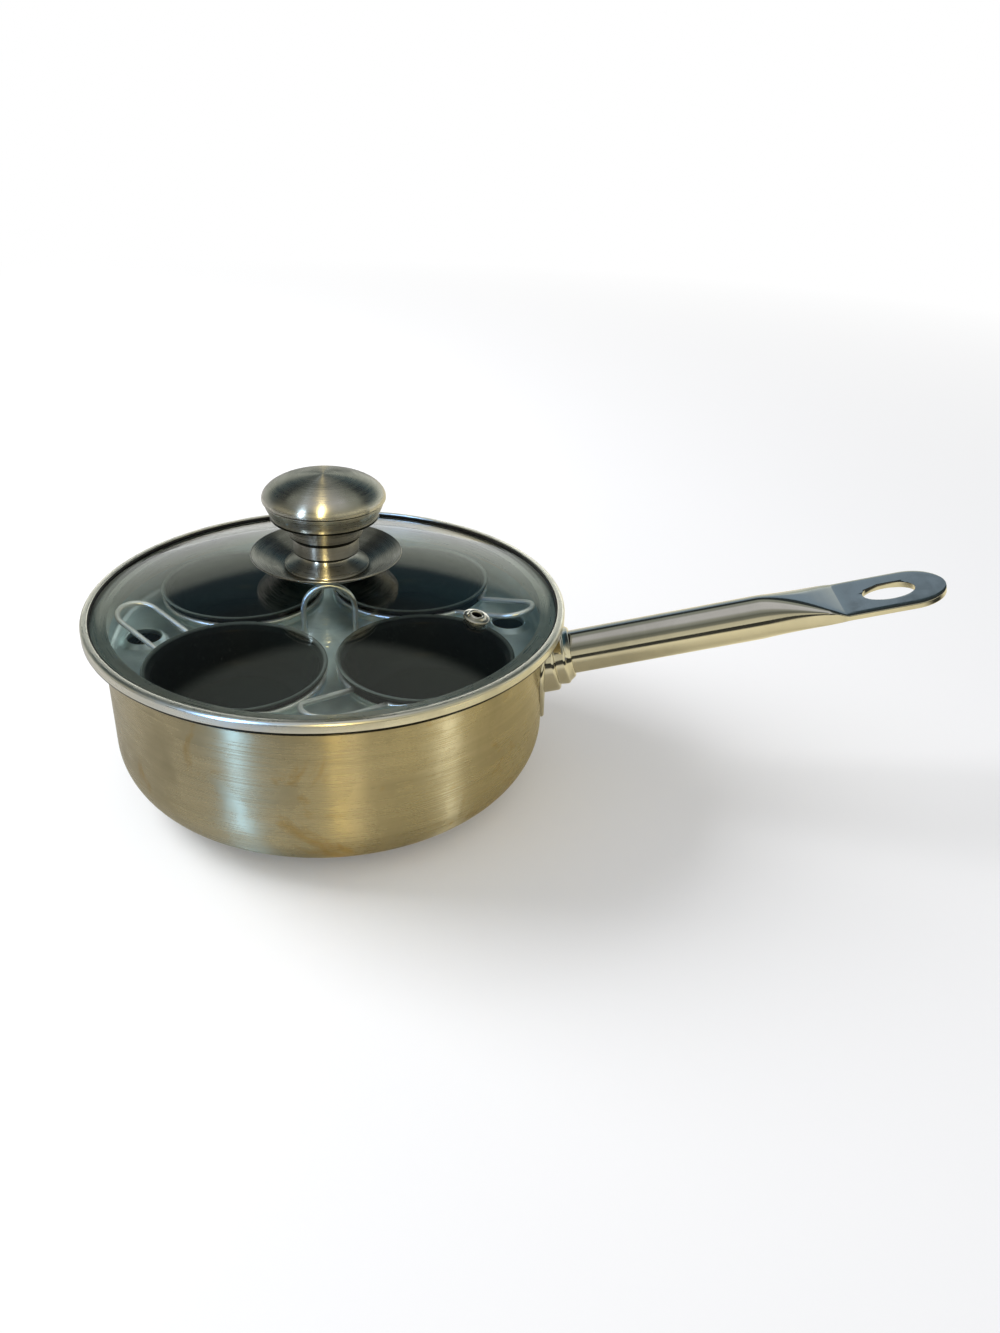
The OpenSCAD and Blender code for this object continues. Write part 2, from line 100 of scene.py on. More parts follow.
# %% [markdown]
# ## Turned pieces
# Nearly every piece of a pan is pressed or spun, so it is round about one axis.
# Such a piece could be a cylinder with many loop cuts, or a curve with a Screw modifier.
# Here a short function turns an outline into a mesh, because then each edge's radius is a number
# that can be read in the outline. The outline is closed, and is given as radius and height.

# %% Outlines and turning
AROUND = 192
AROUND_WIDE = 256


def arc(x, z, r, start, stop, steps=8):
    """Points of an arc about (x, z), with the angles in degrees."""
    turns = [math.radians(start + (stop - start) * i / steps) for i in range(steps + 1)]
    return [(x + r * math.cos(t), z + r * math.sin(t)) for t in turns]


def turn_into(bm, outline, place=Matrix.Identity(4), around=AROUND, closed=True):
    """Adds the outline, turned about the upright axis of `place`, to a bmesh."""
    rings = []
    for r, z in outline:
        if r < 1e-7:
            rings.append([bm.verts.new(place @ Vector((0, 0, z)))])
            continue
        ring = []
        for i in range(around):
            t = 2 * math.pi * i / around
            ring.append(bm.verts.new(place @ Vector((r * math.cos(t), r * math.sin(t), z))))
        rings.append(ring)
    pairs = list(zip(rings, rings[1:])) + ([(rings[-1], rings[0])] if closed else [])
    for low, high in pairs:
        if len(low) == 1 and len(high) == 1:
            continue
        for i in range(around):
            j = (i + 1) % around
            corners = [low[i % len(low)], low[j % len(low)], high[j % len(high)], high[i % len(high)]]
            face = list(dict.fromkeys(corners))
            if len(face) > 2:
                bm.faces.new(face)


def turned(name, outline, body, node, place=Matrix.Identity(4), around=AROUND, sharp=35):
    """A whole piece turned from one closed outline."""
    bm = bmesh.new()
    turn_into(bm, outline, place, around)
    return finish_mesh(name, bm, body, node, sharp)


def bridge(bm, rings):
    """Faces from each ring of corners to the next, where all have as many corners."""
    for near, far in zip(rings, rings[1:]):
        for i in range(len(near)):
            j = (i + 1) % len(near)
            bm.faces.new([near[i], near[j], far[j], far[i]])


print("turning tools ready")

# %% [markdown]
# ## Sizes
# The main sizes come from the frame's boxes, so each new piece lies where its node lies.
# Sheet thicknesses and bend radii are the real ones, in millimetres turned into metres.

# %% Sizes from the frame
pan_low, pan_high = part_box("pan_body")
cap_low, cap_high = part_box("base_cap")
tray_low, tray_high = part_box("tray_plate")
band_low, band_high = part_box("lid_band")
glass_low, glass_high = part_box("lid_glass")

PAN_SHEET = 0.9 * MM
FLARE_R = 4.2 * MM
RIM_FLAT = 2 * MM
CORNER_R = 23 * MM
rim_r = pan_high.x
rim_z = pan_high.z
wall_r = rim_r - FLARE_R - RIM_FLAT
print("pan rim: radius %.1f mm, height %.1f mm" % (rim_r / MM, rim_z / MM))

# %% [markdown]
# ## The pan
# A saucepan is drawn from one disc of steel: flat bottom, a wide bend, a straight wall and a rim
# that is rolled outwards. The outline goes out along the outside and comes back along the inside.

# %% Pan wall
pan_floor = pan_low.z
flare_z = rim_z - PAN_SHEET - FLARE_R
flare_x = wall_r + FLARE_R
edge = PAN_SHEET / 2
pan_outline = (
    [(0, pan_floor)]
    + arc(wall_r - CORNER_R, pan_floor + CORNER_R, CORNER_R, -90, 0, 24)
    + arc(flare_x, flare_z, FLARE_R, 180, 90, 12)
    + arc(rim_r - edge, rim_z - edge, edge, -90, 90, 8)
    + arc(flare_x, flare_z, FLARE_R + PAN_SHEET, 90, 180, 12)
    + arc(wall_r - CORNER_R, pan_floor + CORNER_R, CORNER_R - PAN_SHEET, 0, -90, 24)
    + [(0, pan_floor + PAN_SHEET)]
)
pan_wall = turned("pan_wall", pan_outline, "pan", "pan_body", around=AROUND_WIDE)
print("pan wall:", len(pan_wall.data.polygons), "faces")

# %% [markdown]
# The base is an aluminium disc that spreads the heat, closed by a thin steel cap.
# Only the cap shows, as a shallow dish with a rounded lower edge and a fine seam against the pan.
# A shallow ring is pressed into its middle, and so is drawn in the outline.

# %% Base cap
CAP_SHEET = 0.6 * MM
CAP_EDGE = 2 * MM
CAP_LIP = 0.25 * MM
base_r = cap_high.x
groove_r = base_r * 0.2
base_outline = (
    [(0, cap_low.z)]
    + [(groove_r, cap_low.z), (groove_r + 0.4 * MM, cap_low.z + 0.15 * MM)]
    + [(groove_r + 0.8 * MM, cap_low.z)]
    + arc(base_r - CAP_EDGE, cap_low.z + CAP_EDGE, CAP_EDGE, -90, 0, 8)
    + arc(base_r - CAP_LIP, cap_high.z - CAP_LIP, CAP_LIP, 0, 90, 4)
    + [(base_r - CAP_SHEET, cap_high.z)]
    + arc(base_r - CAP_EDGE, cap_low.z + CAP_EDGE, CAP_EDGE - CAP_SHEET, 0, -90, 8)
    + [(0, cap_low.z + CAP_SHEET)]
)
base_dish = turned("base_dish", base_outline, "pan", "base_cap")
print("base dish: radius %.1f mm" % (base_r / MM))

# %% [markdown]
# ## The handle
# The handle is a steel tube, round near the pan and pressed flat at its tip, where an oval hole
# hangs it up. Its axis rises from the wall, so every point is given by how far it lies along the
# handle, across it and above it, and one function turns these three into a place.

# %% Handle sizes
HANDLE_LEN = 170 * MM
HANDLE_TILT = math.radians(14.5)
HANDLE_DROP = 19.7 * MM
TUBE_R = 9.35 * MM
TUBE_WALL = 1.2 * MM
FLAT_LEN = 43 * MM
PRESS_LEN = 34 * MM
FLAT_HALF = 15.2 * MM
HANG_LEN = 21.4 * MM
HANG_W = 14 * MM
flat_from = HANDLE_LEN - FLAT_LEN
press_from = flat_from - PRESS_LEN
hang_at = HANDLE_LEN - FLAT_HALF - HANG_LEN / 2 + 3 * MM
handle_start = Vector((wall_r, 0, rim_z - HANDLE_DROP))
along = Vector((math.cos(HANDLE_TILT), 0, math.sin(HANDLE_TILT)))
across = Vector((0, 1, 0))
upward = Vector((-math.sin(HANDLE_TILT), 0, math.cos(HANDLE_TILT)))


def on_handle(s, y, h):
    """A point s along the handle, y across it and h above its axis."""
    return handle_start + along * s + across * y + upward * h


print("handle: %.0f mm long, rising %.1f degrees" % (HANDLE_LEN / MM, math.degrees(HANDLE_TILT)))

# %% [markdown]
# Pressing the tube leaves a flat triangle on top and below, between two rounded flanks.
# The handle could be a cylinder squashed with a lattice, but then its sizes are hard to read.
# Here it is a loft: each cross-section is a superellipse, which is a circle at power 2 and nearly
# a rectangle at a high power, so one rule gives the tube, the triangles and the flat end.

# %% Handle sections
SECTION_STEPS = 72


def section(s, radius, half):
    """Points round one cross-section: a circle near the pan, ever squarer towards the tip."""
    f = min(max((s - press_from) / PRESS_LEN, 0.0), 1.0)
    square = 2 + 5 * f * f + 18 * f ** 8
    points = []
    for i in range(SECTION_STEPS):
        t = 2 * math.pi * (i + 0.5) / SECTION_STEPS
        reach = (abs(math.cos(t)) ** square + abs(math.sin(t)) ** square) ** (-1 / square)
        points.append(on_handle(s, radius * math.cos(t) * reach, half * math.sin(t) * reach))
    return points


def tube_shape(s):
    """Radius of the flanks and half the thickness, s along the handle."""
    if s <= press_from:
        return TUBE_R, TUBE_R
    if s <= flat_from:
        f = (s - press_from) / PRESS_LEN
        return TUBE_R + (FLAT_HALF - TUBE_R) * f * f, TUBE_R + (TUBE_WALL - TUBE_R) * f ** 1.4
    beyond = s - (HANDLE_LEN - FLAT_HALF)
    if beyond <= 0:
        return FLAT_HALF, TUBE_WALL
    return math.sqrt(max(FLAT_HALF ** 2 - beyond ** 2, TIP_LEAST ** 2)), TUBE_WALL


def spaced(start, stop, count):
    """Even steps that leave out the start, where the last stretch ended."""
    return [start + (stop - start) * (i + 1) / count for i in range(count)]


TUBE_FROM = 3 * MM
TIP_LEAST = 0.2 * MM
TIP_SHORT = 0.06 * MM
straight_end = HANDLE_LEN - FLAT_HALF
stations = [TUBE_FROM] + spaced(TUBE_FROM, press_from, 24) + spaced(press_from, flat_from, 40)
stations += spaced(flat_from, straight_end, 8)
stations += [straight_end + (FLAT_HALF - TIP_SHORT) * math.sin(t) for t in spaced(0, math.pi / 2, 36)]
bm = bmesh.new()
rings = [[bm.verts.new(p) for p in section(s, *tube_shape(s))] for s in stations]
bridge(bm, rings)
bm.faces.new(rings[0])
bm.faces.new(rings[-1])
handle_shell = finish_mesh("handle_shell", bm, "pan", "handle_tube", sharp=12)
print("handle shell:", len(stations), "sections")

# %% [markdown]
# The oval hole is cut with a Boolean: an oval pin goes through the flat end and is subtracted.
# Then a small bevel takes the sharpness off the rim of the tip and of the hole, as deburring does.

# %% Hanging hole
EDGE_SOFT = 0.35 * MM
PIN_HALF = 6 * MM
bm = bmesh.new()
circle = arc(0, 0, 1, 0, 360, SECTION_STEPS)[:-1]
oval = [(hang_at + x * HANG_LEN / 2, y * HANG_W / 2) for x, y in circle]
loops = [[bm.verts.new(on_handle(s, y, h)) for s, y in oval] for h in (-PIN_HALF, PIN_HALF)]
bridge(bm, loops)
bm.faces.new(loops[0])
bm.faces.new(loops[1])
bmesh.ops.recalc_face_normals(bm, faces=bm.faces)
pin = add_object("oval_pin", mesh_from("oval_pin", bm))


def mesh_shown(piece):
    """A new mesh of what an object shows, with its modifiers or its curve's bevel."""
    seen = piece.evaluated_get(bpy.context.evaluated_depsgraph_get())
    return bpy.data.meshes.new_from_object(seen)


def apply_modifiers(piece):
    """Makes what the modifiers show into the piece's own mesh, and drops the modifiers."""
    mesh = mesh_shown(piece)
    old = piece.data
    piece.modifiers.clear()
    piece.data = mesh
    bpy.data.meshes.remove(old)


cut = handle_shell.modifiers.new("hole", "BOOLEAN")
cut.operation = "DIFFERENCE"
cut.object = pin
cut.solver = "EXACT"
soften = handle_shell.modifiers.new("edges", "BEVEL")
soften.width = EDGE_SOFT
soften.segments = 3
soften.limit_method = "ANGLE"
soften.angle_limit = math.radians(50)
apply_modifiers(handle_shell)
bpy.data.objects.remove(pin)
smooth(handle_shell.data, 30)
print("hanging hole cut:", len(handle_shell.data.polygons), "faces")

# %% [markdown]
# The tube is welded into a pressed bracket: two stacked, rounded steps on a plate that hugs the
# wall, with a tongue hanging below. The steps are turned about the handle's axis, and each point
# of their foot slides along the handle until it meets the wall.

# %% Handle collar
BRACKET_SHEET = 1.4 * MM
COLLAR_R = 15.2 * MM
COLLAR_LEN = 12.5 * MM
WELD_GAP = 0.1 * MM
COLLAR_STEPS = 96
step = COLLAR_LEN / 2.5
hug_r = wall_r + WELD_GAP
collar_outline = (
    [(COLLAR_R, 0)]
    + arc(COLLAR_R - 1.5 * MM, step - 1.3 * MM, 1.5 * MM, 0, 75, 8)
    + arc(COLLAR_R - 2.3 * MM + 0.3 * MM, step + 0.6 * MM, 0.3 * MM, 270, 180, 3)
    + arc(COLLAR_R - 3.4 * MM, 2 * step - 1.3 * MM, 1.4 * MM, 0, 70, 8)
    + arc(TUBE_R + 0.8 * MM, COLLAR_LEN - 0.8 * MM, 0.8 * MM, 30, 150, 6)
    + [(TUBE_R, COLLAR_LEN - 2 * MM), (TUBE_R, 6 * MM)]
)


def to_wall(point):
    """Slides a point along the handle until it lies on the wall."""
    y2 = hug_r ** 2 - point.y ** 2
    return point + along * ((math.sqrt(y2) - point.x) / along.x)


bm = bmesh.new()
rings = []
for r, s in collar_outline:
    points = [on_handle(s, y, h) for y, h in arc(0, 0, r, 0, 360, COLLAR_STEPS)[:-1]]
    rings.append([bm.verts.new(to_wall(p) if s == 0 else p) for p in points])
bridge(bm, rings)
print("collar:", len(rings), "rings")

# %% [markdown]
# The plate behind the collar is the outline of a big and a small circle, one above the other.
# It is a set of such outlines, one inside the other, laid on the wall's cylinder. The outer ones
# make its rounded edge, and the slim shape that the last one leaves is closed with triangles.

# %% Tongue plate
PLATE_R = 17.5 * MM
TONGUE_R = 7 * MM
TONGUE_DROP = 19 * MM
plate_z = flare_z - PLATE_R - 0.4 * MM
lean = math.asin((PLATE_R - TONGUE_R) / TONGUE_DROP)


def teardrop(inset):
    """Outline of the plate, drawn in by `inset`: a big circle above and a small one below."""
    big, small = PLATE_R - inset, TONGUE_R - inset
    side = math.degrees(lean)
    top = arc(0, plate_z, big, -side, 180 + side, 48)
    return top + arc(0, plate_z - TONGUE_DROP, small, 180 + side, 360 - side, 24)


def on_wall(y, z, height):
    """A point of the plate, `height` proud of its seat on the wall."""
    return Vector((math.sqrt((hug_r + height) ** 2 - y ** 2), y, z))


EDGE_R = 1.1 * MM
levels = [(0, 0)]
for i in range(7):
    t = math.pi / 2 * i / 6
    levels.append((EDGE_R * (1 - math.cos(t)), BRACKET_SHEET - EDGE_R + EDGE_R * math.sin(t)))
levels += [(inset * MM, BRACKET_SHEET) for inset in (2.5, 4, 5.5, 6.8)]
plate_rings = [[bm.verts.new(on_wall(y, z, height)) for y, z in teardrop(inset)]
    for inset, height in levels]
bridge(bm, plate_rings)
spine = plate_rings[-1]
around_spine = [bm.edges.get(pair) for pair in zip(spine, spine[1:] + spine[:1])]
bmesh.ops.triangle_fill(bm, use_beauty=True, edges=around_spine)
handle_collar = finish_mesh("handle_collar", bm, "pan", "handle_bracket", sharp=60)
print("bracket:", len(handle_collar.data.polygons), "faces")

# %% [markdown]
# ## Bent wires
# The tray's lift handle and the cups' rings are bent from round wire.
# A curve with a round bevel is the natural way: the path is a list of corners, each rounded to
# the radius that the bending tool leaves, and the wire's thickness is one number.

# %% Wire tools
def rounded_path(corners, radius, steps=8):
    """The path through the corners, with each inner corner rounded to the radius."""
    path = [corners[0]]
    for before, corner, after in zip(corners, corners[1:], corners[2:]):
        a = (before - corner).normalized()
        b = (after - corner).normalized()
        half = a.angle(b) / 2
        reach = min(radius / math.tan(half), (before - corner).length / 2,
            (after - corner).length / 2)
        start, stop = corner + a * reach, corner + b * reach
        for i in range(steps + 1):
            f = i / steps
            path.append((1 - f) ** 2 * start + 2 * f * (1 - f) * corner + f ** 2 * stop)
    return path + [corners[-1]]


def wire(name, path, thickness, body, node, closed=False):
    """A round wire along a path of points."""
    curve = bpy.data.curves.new(name, "CURVE")
    curve.dimensions = "3D"
    curve.bevel_depth = thickness / 2
    curve.bevel_resolution = 6
    curve.use_fill_caps = True
    spline = curve.splines.new("POLY")
    spline.points.add(len(path) - 1)
    for point, place in zip(spline.points, path):
        point.co = (*place, 1)
    spline.use_cyclic_u = closed
    drawn = add_object(name + "_path", curve)
    mesh = mesh_shown(drawn)
    bpy.data.objects.remove(drawn)
    smooth(mesh, 50)
    mesh.name = name
    return ride_on(name, mesh, body, node)


print("wire tools ready")

# %% [markdown]
# ## The tray
# The tray is pressed from thin sheet. Its floor has a raised collar round each cup's hole and a
# low lip round each of two steam holes, and its rim hangs on the pan's. The places of the cups
# are read from the frame, and the rest are sheet sizes and bend radii.

# %% Tray sizes
TRAY_SHEET = 0.6 * MM
TRAY_TURN = math.radians(10)
TRAY_DEPTH = 12.5 * MM
TRAY_WALL_GAP = 0.5 * MM
TRAY_BEND = 3.9 * MM
TRAY_CORNER = 3 * MM
tray_floor = rim_z - TRAY_DEPTH
tray_under = tray_floor - TRAY_SHEET
tray_rim_r = tray_high.x
tray_r = wall_r - PAN_SHEET - TRAY_WALL_GAP
cups_at = []
for number in (1, 2, 3, 4):
    low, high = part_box("cup_%d" % number)
    cups_at.append((low + high) / 2)
cup_low, cup_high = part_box("cup_1")
cup_r = (cup_high.x - cup_low.x) / 2
SEAT_SHEET = 0.8 * MM
SEAT_H = 2.2 * MM
seat_r = 34.12 * MM
STEAM_R = 7 * MM
STEAM_OUT = 77 * MM
STEAM_LIP = 1.6 * MM
print("tray floor at %.1f mm, cups %.1f mm across" % (tray_floor / MM, 2 * cup_r / MM))

# %% [markdown]
# The tray could be cut with a Boolean for each hole, but that leaves long, badly shaded faces.
# Here its floor is a flat sheet with round holes, which a triangle fill closes between its outer
# circle and the holes. The collars and the outer wall are turned, and their circles have the
# same points as the sheet's holes, so that they join.

# %% Tray sheet
HOLE_POINTS = 96


def circle_points(x, y, r, z, count=HOLE_POINTS):
    """Evenly spaced points of a level circle."""
    return [Vector((a, b, z)) for a, b in arc(x, y, r, 0, 360, count)[:-1]]


def sheet_between(bm, loops):
    """A flat sheet inside the first loop, with the other loops as holes."""
    edges = []
    for loop in loops:
        verts = [bm.verts.new(p) for p in loop]
        edges += [bm.edges.new([verts[i - 1], verts[i]]) for i in range(len(verts))]
    bmesh.ops.triangle_fill(bm, use_beauty=True, edges=edges)


FILLET = 0.9 * MM
collar_r = seat_r + SEAT_SHEET
steam_spots = [(STEAM_OUT * math.cos(t), STEAM_OUT * math.sin(t)) for t in (TRAY_TURN, TRAY_TURN + math.pi)]
steam_foot = STEAM_R + 3 * MM
floor_r = tray_r - TRAY_CORNER
bm = bmesh.new()
for z, cup_hole, steam_hole in ((tray_floor, collar_r + FILLET, steam_foot), (tray_under, seat_r, STEAM_R)):
    sheet_between(bm, [circle_points(0, 0, floor_r, z, AROUND)]
        + [circle_points(c.x, c.y, cup_hole, z) for c in cups_at]
        + [circle_points(x, y, steam_hole, z) for x, y in steam_spots])
bend_x = tray_r + TRAY_BEND
bend_z = rim_z - TRAY_BEND
wall_outline = (
    arc(floor_r, tray_under + TRAY_CORNER, TRAY_CORNER, -90, 0, 10)
    + arc(bend_x, bend_z, TRAY_BEND, 180, 90, 12)
    + arc(tray_rim_r - TRAY_SHEET / 2, rim_z + TRAY_SHEET / 2, TRAY_SHEET / 2, -90, 90, 6)
    + arc(bend_x, bend_z, TRAY_BEND + TRAY_SHEET, 90, 180, 12)
    + arc(floor_r, tray_under + TRAY_CORNER, TRAY_CORNER - TRAY_SHEET, 0, -90, 10)
)
turn_into(bm, wall_outline, closed=False)
seat_outline = (
    [(seat_r, tray_under)]
    + arc(seat_r + SEAT_SHEET / 2, tray_floor + SEAT_H - SEAT_SHEET / 2, SEAT_SHEET / 2, 180, 0, 8)
    + arc(collar_r + FILLET, tray_floor + FILLET, FILLET, 180, 270, 6)
)
for c in cups_at:
    turn_into(bm, seat_outline, Matrix.Translation((c.x, c.y, 0)), HOLE_POINTS, closed=False)
steam_outline = (
    [(STEAM_R, tray_under)]
    + arc(STEAM_R + 0.5 * MM, tray_floor + STEAM_LIP - 0.5 * MM, 0.5 * MM, 180, 45, 6)
    + [(steam_foot - 0.4 * MM, tray_floor + 0.15 * MM), (steam_foot, tray_floor)]
)
for x, y in steam_spots:
    turn_into(bm, steam_outline, Matrix.Translation((x, y, 0)), HOLE_POINTS, closed=False)
tray_sheet = finish_mesh("tray_sheet", bm, "tray", "tray_plate", sharp=30)
print("tray sheet:", len(tray_sheet.data.polygons), "faces")

# %% [markdown]
# The tray is lifted by an arch of wire, welded upright at its middle between the cups.
# It is a half circle on two straight legs, turned with the tray.

# %% Tray lift handle
arch_low, arch_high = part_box("tray_handle")
LIFT_WIRE = 2.4 * MM
arch_top = arch_high.z - LIFT_WIRE / 2
LIFT_HALF = 10.8 * MM
leg = arch_top - LIFT_HALF
turn = Matrix.Rotation(TRAY_TURN, 4, "Z")
arch_path = [Vector((LIFT_HALF, 0, arch_low.z))]
arch_path += [Vector((x, 0, z)) for x, z in arc(0, leg, LIFT_HALF, 0, 180, 48)]
arch_path += [Vector((-LIFT_HALF, 0, arch_low.z))]
tray_arch = wire("tray_arch", [turn @ p for p in arch_path], LIFT_WIRE, "tray", "tray_handle")
print("tray arch top at %.1f mm" % (arch_high.z / MM))

# %% [markdown]
# ## The cups
# A poaching cup is a pressed aluminium dish with a dark non-stick coat and a flared rim.
# Its floor is slightly crowned, so that it doesn't rock, and the rim's edge is rounded.

# %% Cup dishes
CUP_SHEET = 1.2 * MM
CUP_BEND = 8 * MM
CUP_FLARE = 2.7 * MM
CUP_FLARE_H = 2.4 * MM
CUP_LEAN = 3 * MM
CROWN = 0.35 * MM
cup_top, cup_floor = cup_high.z, cup_low.z
cup_wall_r = cup_r - CUP_FLARE
cup_wall_z = cup_top - CUP_SHEET - CUP_FLARE_H
foot_r = cup_wall_r - CUP_LEAN
bend_in = CUP_BEND - CUP_SHEET
crown_end = foot_r - CUP_BEND - 6 * MM
cup_outline = (
    [(0, cup_floor + CROWN), (crown_end, cup_floor + CROWN)]
    + arc(foot_r - CUP_BEND, cup_floor + CUP_BEND, CUP_BEND, -90, 0, 12)
    + arc(cup_wall_r + 0.5 * MM, cup_wall_z - 0.1 * MM, 0.5 * MM, 180, 140, 3)
    + arc(cup_r - CUP_SHEET / 2, cup_top - CUP_SHEET / 2, CUP_SHEET / 2, -42, 125, 8)
    + arc(cup_wall_r + 0.9 * MM, cup_wall_z + 0.3 * MM, 2.1 * MM, 140, 178, 4)
    + arc(foot_r - CUP_BEND, cup_floor + CUP_BEND, bend_in, 0, -90, 12)
    + [(crown_end, cup_floor + CUP_SHEET + CROWN), (0, cup_floor + CUP_SHEET + CROWN)]
)
CUP_AROUND = 128
cup_dishes = []
for number, c in enumerate(cups_at, 1):
    place = Matrix.Translation((c.x, c.y, 0))
    cup_dishes.append(turned("cup_dish_%d" % number, cup_outline, "egg_cup_%d" % number,
        "cup_%d" % number, place, CUP_AROUND))
print("cups:", len(cup_dishes))

# %% [markdown]
# Each cup hangs in a wire ring. The wire goes once round the cup and both its ends turn outwards
# into a grip loop, so the path opens where the loop begins and each leg leaves the ring in a bend.

# %% Cup rings
CUP_WIRE = 2.2 * MM
LOOP_HALF = 8.6 * MM
LOOP_TILT = math.radians(14)
LOOP_BEND = 4 * MM
LOOP_OPEN = 5
ring_r = 34.52 * MM
climb = math.tan(LOOP_TILT)
loop_reach = LOOP_HALF * math.cos(LOOP_TILT)
cup_rings = []
for number, c in enumerate(cups_at, 1):
    low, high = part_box("cup_wire_%d" % number)
    wire_z = low.z + CUP_WIRE / 2
    heading = TRAY_TURN + math.pi / 4 + math.pi / 2 * (number - 1) - math.pi / 2
    spin = Matrix.Translation((c.x, c.y, wire_z)) @ Matrix.Rotation(heading, 4, "Z")
    toward = Vector((math.cos(heading), math.sin(heading), 0))
    grip_end = max((Vector(v.co) - Vector((c.x, c.y, 0))).dot(toward)
        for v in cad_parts["cup_wire_%d" % number].data.vertices)
    reach = grip_end - CUP_WIRE / 2 - loop_reach
    gap = math.degrees(math.asin(LOOP_HALF / ring_r))
    ring = [Vector((x, y, 0)) for x, y in arc(0, 0, ring_r, gap + LOOP_OPEN, 360 - gap - LOOP_OPEN, 120)]
    leave = Vector((ring_r * math.cos(math.radians(gap)), LOOP_HALF, 0))
    leg_end = Vector((reach, LOOP_HALF, (reach - ring_r) * climb))
    leg = rounded_path([ring[0], leave, leg_end], LOOP_BEND)[1:-1]
    loop = []
    for y, x in arc(0, 0, 1, 0, 180, 30):
        out = reach + loop_reach * x
        loop.append(Vector((out, LOOP_HALF * y, (out - ring_r) * climb)))
    path = ring + [Vector((p.x, -p.y, p.z)) for p in leg + loop] + leg[::-1]
    cup_rings.append(wire("cup_ring_%d" % number, [spin @ p for p in path], CUP_WIRE,
        "egg_cup_%d" % number, "cup_wire_%d" % number, closed=True))
print("cup rings:", len(cup_rings))

# %% [markdown]
# ## The lid
# A steel band is rolled round the glass's edge. It has a lip over the glass, a flange that rests
# on the tray and a skirt inside it. A black seal shows as a thin line inside the lip.

# %% Lid band
BAND_SHEET = 0.6 * MM
BAND_ROUND = 1.4 * MM
BAND_FOOT = 0.6 * MM
SKIRT_H = 5.5 * MM
SKIRT_GAP = 0.4 * MM
LIP_W = 3 * MM
band_z = band_low.z + SKIRT_H
band_top = band_high.z
lid_r = band_high.x - 0.04 * MM
lip_r = lid_r - LIP_W
skirt_r = tray_r - TRAY_SHEET - SKIRT_GAP
band_side = lid_r - BAND_SHEET
band_outline = (
    [(skirt_r, band_low.z + 0.2 * MM), (skirt_r, band_z)]
    + arc(lid_r - BAND_FOOT, band_z + BAND_FOOT, BAND_FOOT, -90, 0, 6)
    + arc(lid_r - BAND_ROUND, band_top - BAND_ROUND, BAND_ROUND, 0, 90, 12)
    + arc(lip_r + BAND_SHEET / 2, band_top - BAND_SHEET / 2, BAND_SHEET / 2, 90, 270, 8)
    + arc(lid_r - BAND_ROUND, band_top - BAND_ROUND, BAND_ROUND - BAND_SHEET, 90, 0, 6)
    + [(band_side, band_z + BAND_SHEET), (skirt_r - BAND_SHEET, band_z + BAND_SHEET)]
    + arc(skirt_r - BAND_SHEET / 2, band_low.z + BAND_SHEET / 2, BAND_SHEET / 2, 180, 360, 6)
)
lid_rim = turned("lid_rim", band_outline, "lid", "lid_band", around=AROUND_WIDE)
print("lid band: %.1f mm across" % (2 * lid_r / MM))

# %% [markdown]
# The glass is a shallow dome, 3 mm thick, cut from two spheres about one centre.
# Glass has to be a closed solid with an inside and an outside, or light bends wrongly in it.

# %% Glass dome
GLASS = 3 * MM
DOME_H = 14.7 * MM
SCREW_HOLE = 2.8 * MM
glass_r = glass_high.x
glass_top = glass_high.z
shoulder_z = glass_top - DOME_H
dome_edge = lid_r - 5.5 * MM
dome_r = (dome_edge ** 2 + DOME_H ** 2) / (2 * DOME_H)
dome_z = glass_top - dome_r


def dome_points(depth, start, stop, steps):
    """Points on the dome, `depth` inside its upper face, from one radius to another."""
    r = dome_r - depth
    a, b = math.asin(start / r), math.asin(stop / r)
    turns = [a + (b - a) * i / steps for i in range(steps + 1)]
    return [(r * math.sin(t), dome_z + r * math.cos(t)) for t in turns]


inner_edge = math.sqrt((dome_r - GLASS) ** 2 - (glass_low.z - dome_z) ** 2)
glass_outline = (
    dome_points(0, SCREW_HOLE, dome_edge, 40)
    + [(glass_r, shoulder_z), (glass_r, glass_low.z)]
    + dome_points(GLASS, inner_edge, SCREW_HOLE, 40)
)
lid_dome = turned("lid_dome", glass_outline, "lid", "lid_glass", around=AROUND_WIDE, sharp=30)
print("dome radius %.1f mm" % (dome_r / MM))

# %% [markdown]
# The seal is a rubber profile round the glass's edge, inside the band. Only the bead at its inner
# edge shows, as a thin black line, so the rest of the profile is drawn with plain corners.

# %% Glass seal
seal_low, seal_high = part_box("lid_seal")
seal_r = seal_high.x
bead_r = lip_r - 0.7 * MM
seal_outline = [
    (lip_r - 0.4 * MM, seal_low.z), (seal_r, seal_low.z), (seal_r, shoulder_z - 0.1 * MM),
    (glass_r - 0.3 * MM, shoulder_z + 0.3 * MM), (lip_r - 0.1 * MM, shoulder_z + 0.3 * MM),
]
seal_outline += arc(lip_r - 0.35 * MM, shoulder_z + 0.35 * MM, 0.25 * MM, 10, 170, 8)
seal_outline += [(bead_r, shoulder_z + 0.1 * MM), (bead_r, shoulder_z - 0.1 * MM),
    (glass_r, shoulder_z), (glass_r, glass_low.z), (lip_r - 0.4 * MM, glass_low.z)]
lid_bead = turned("lid_bead", seal_outline, "lid", "lid_seal", around=AROUND_WIDE)
print("seal bead at %.1f mm" % (bead_r / MM))

# %% [markdown]
# Steam leaves through a hollow rivet in the glass, between the middle and the rim.
# It is turned about its own axis, which stands square to the dome at that place.

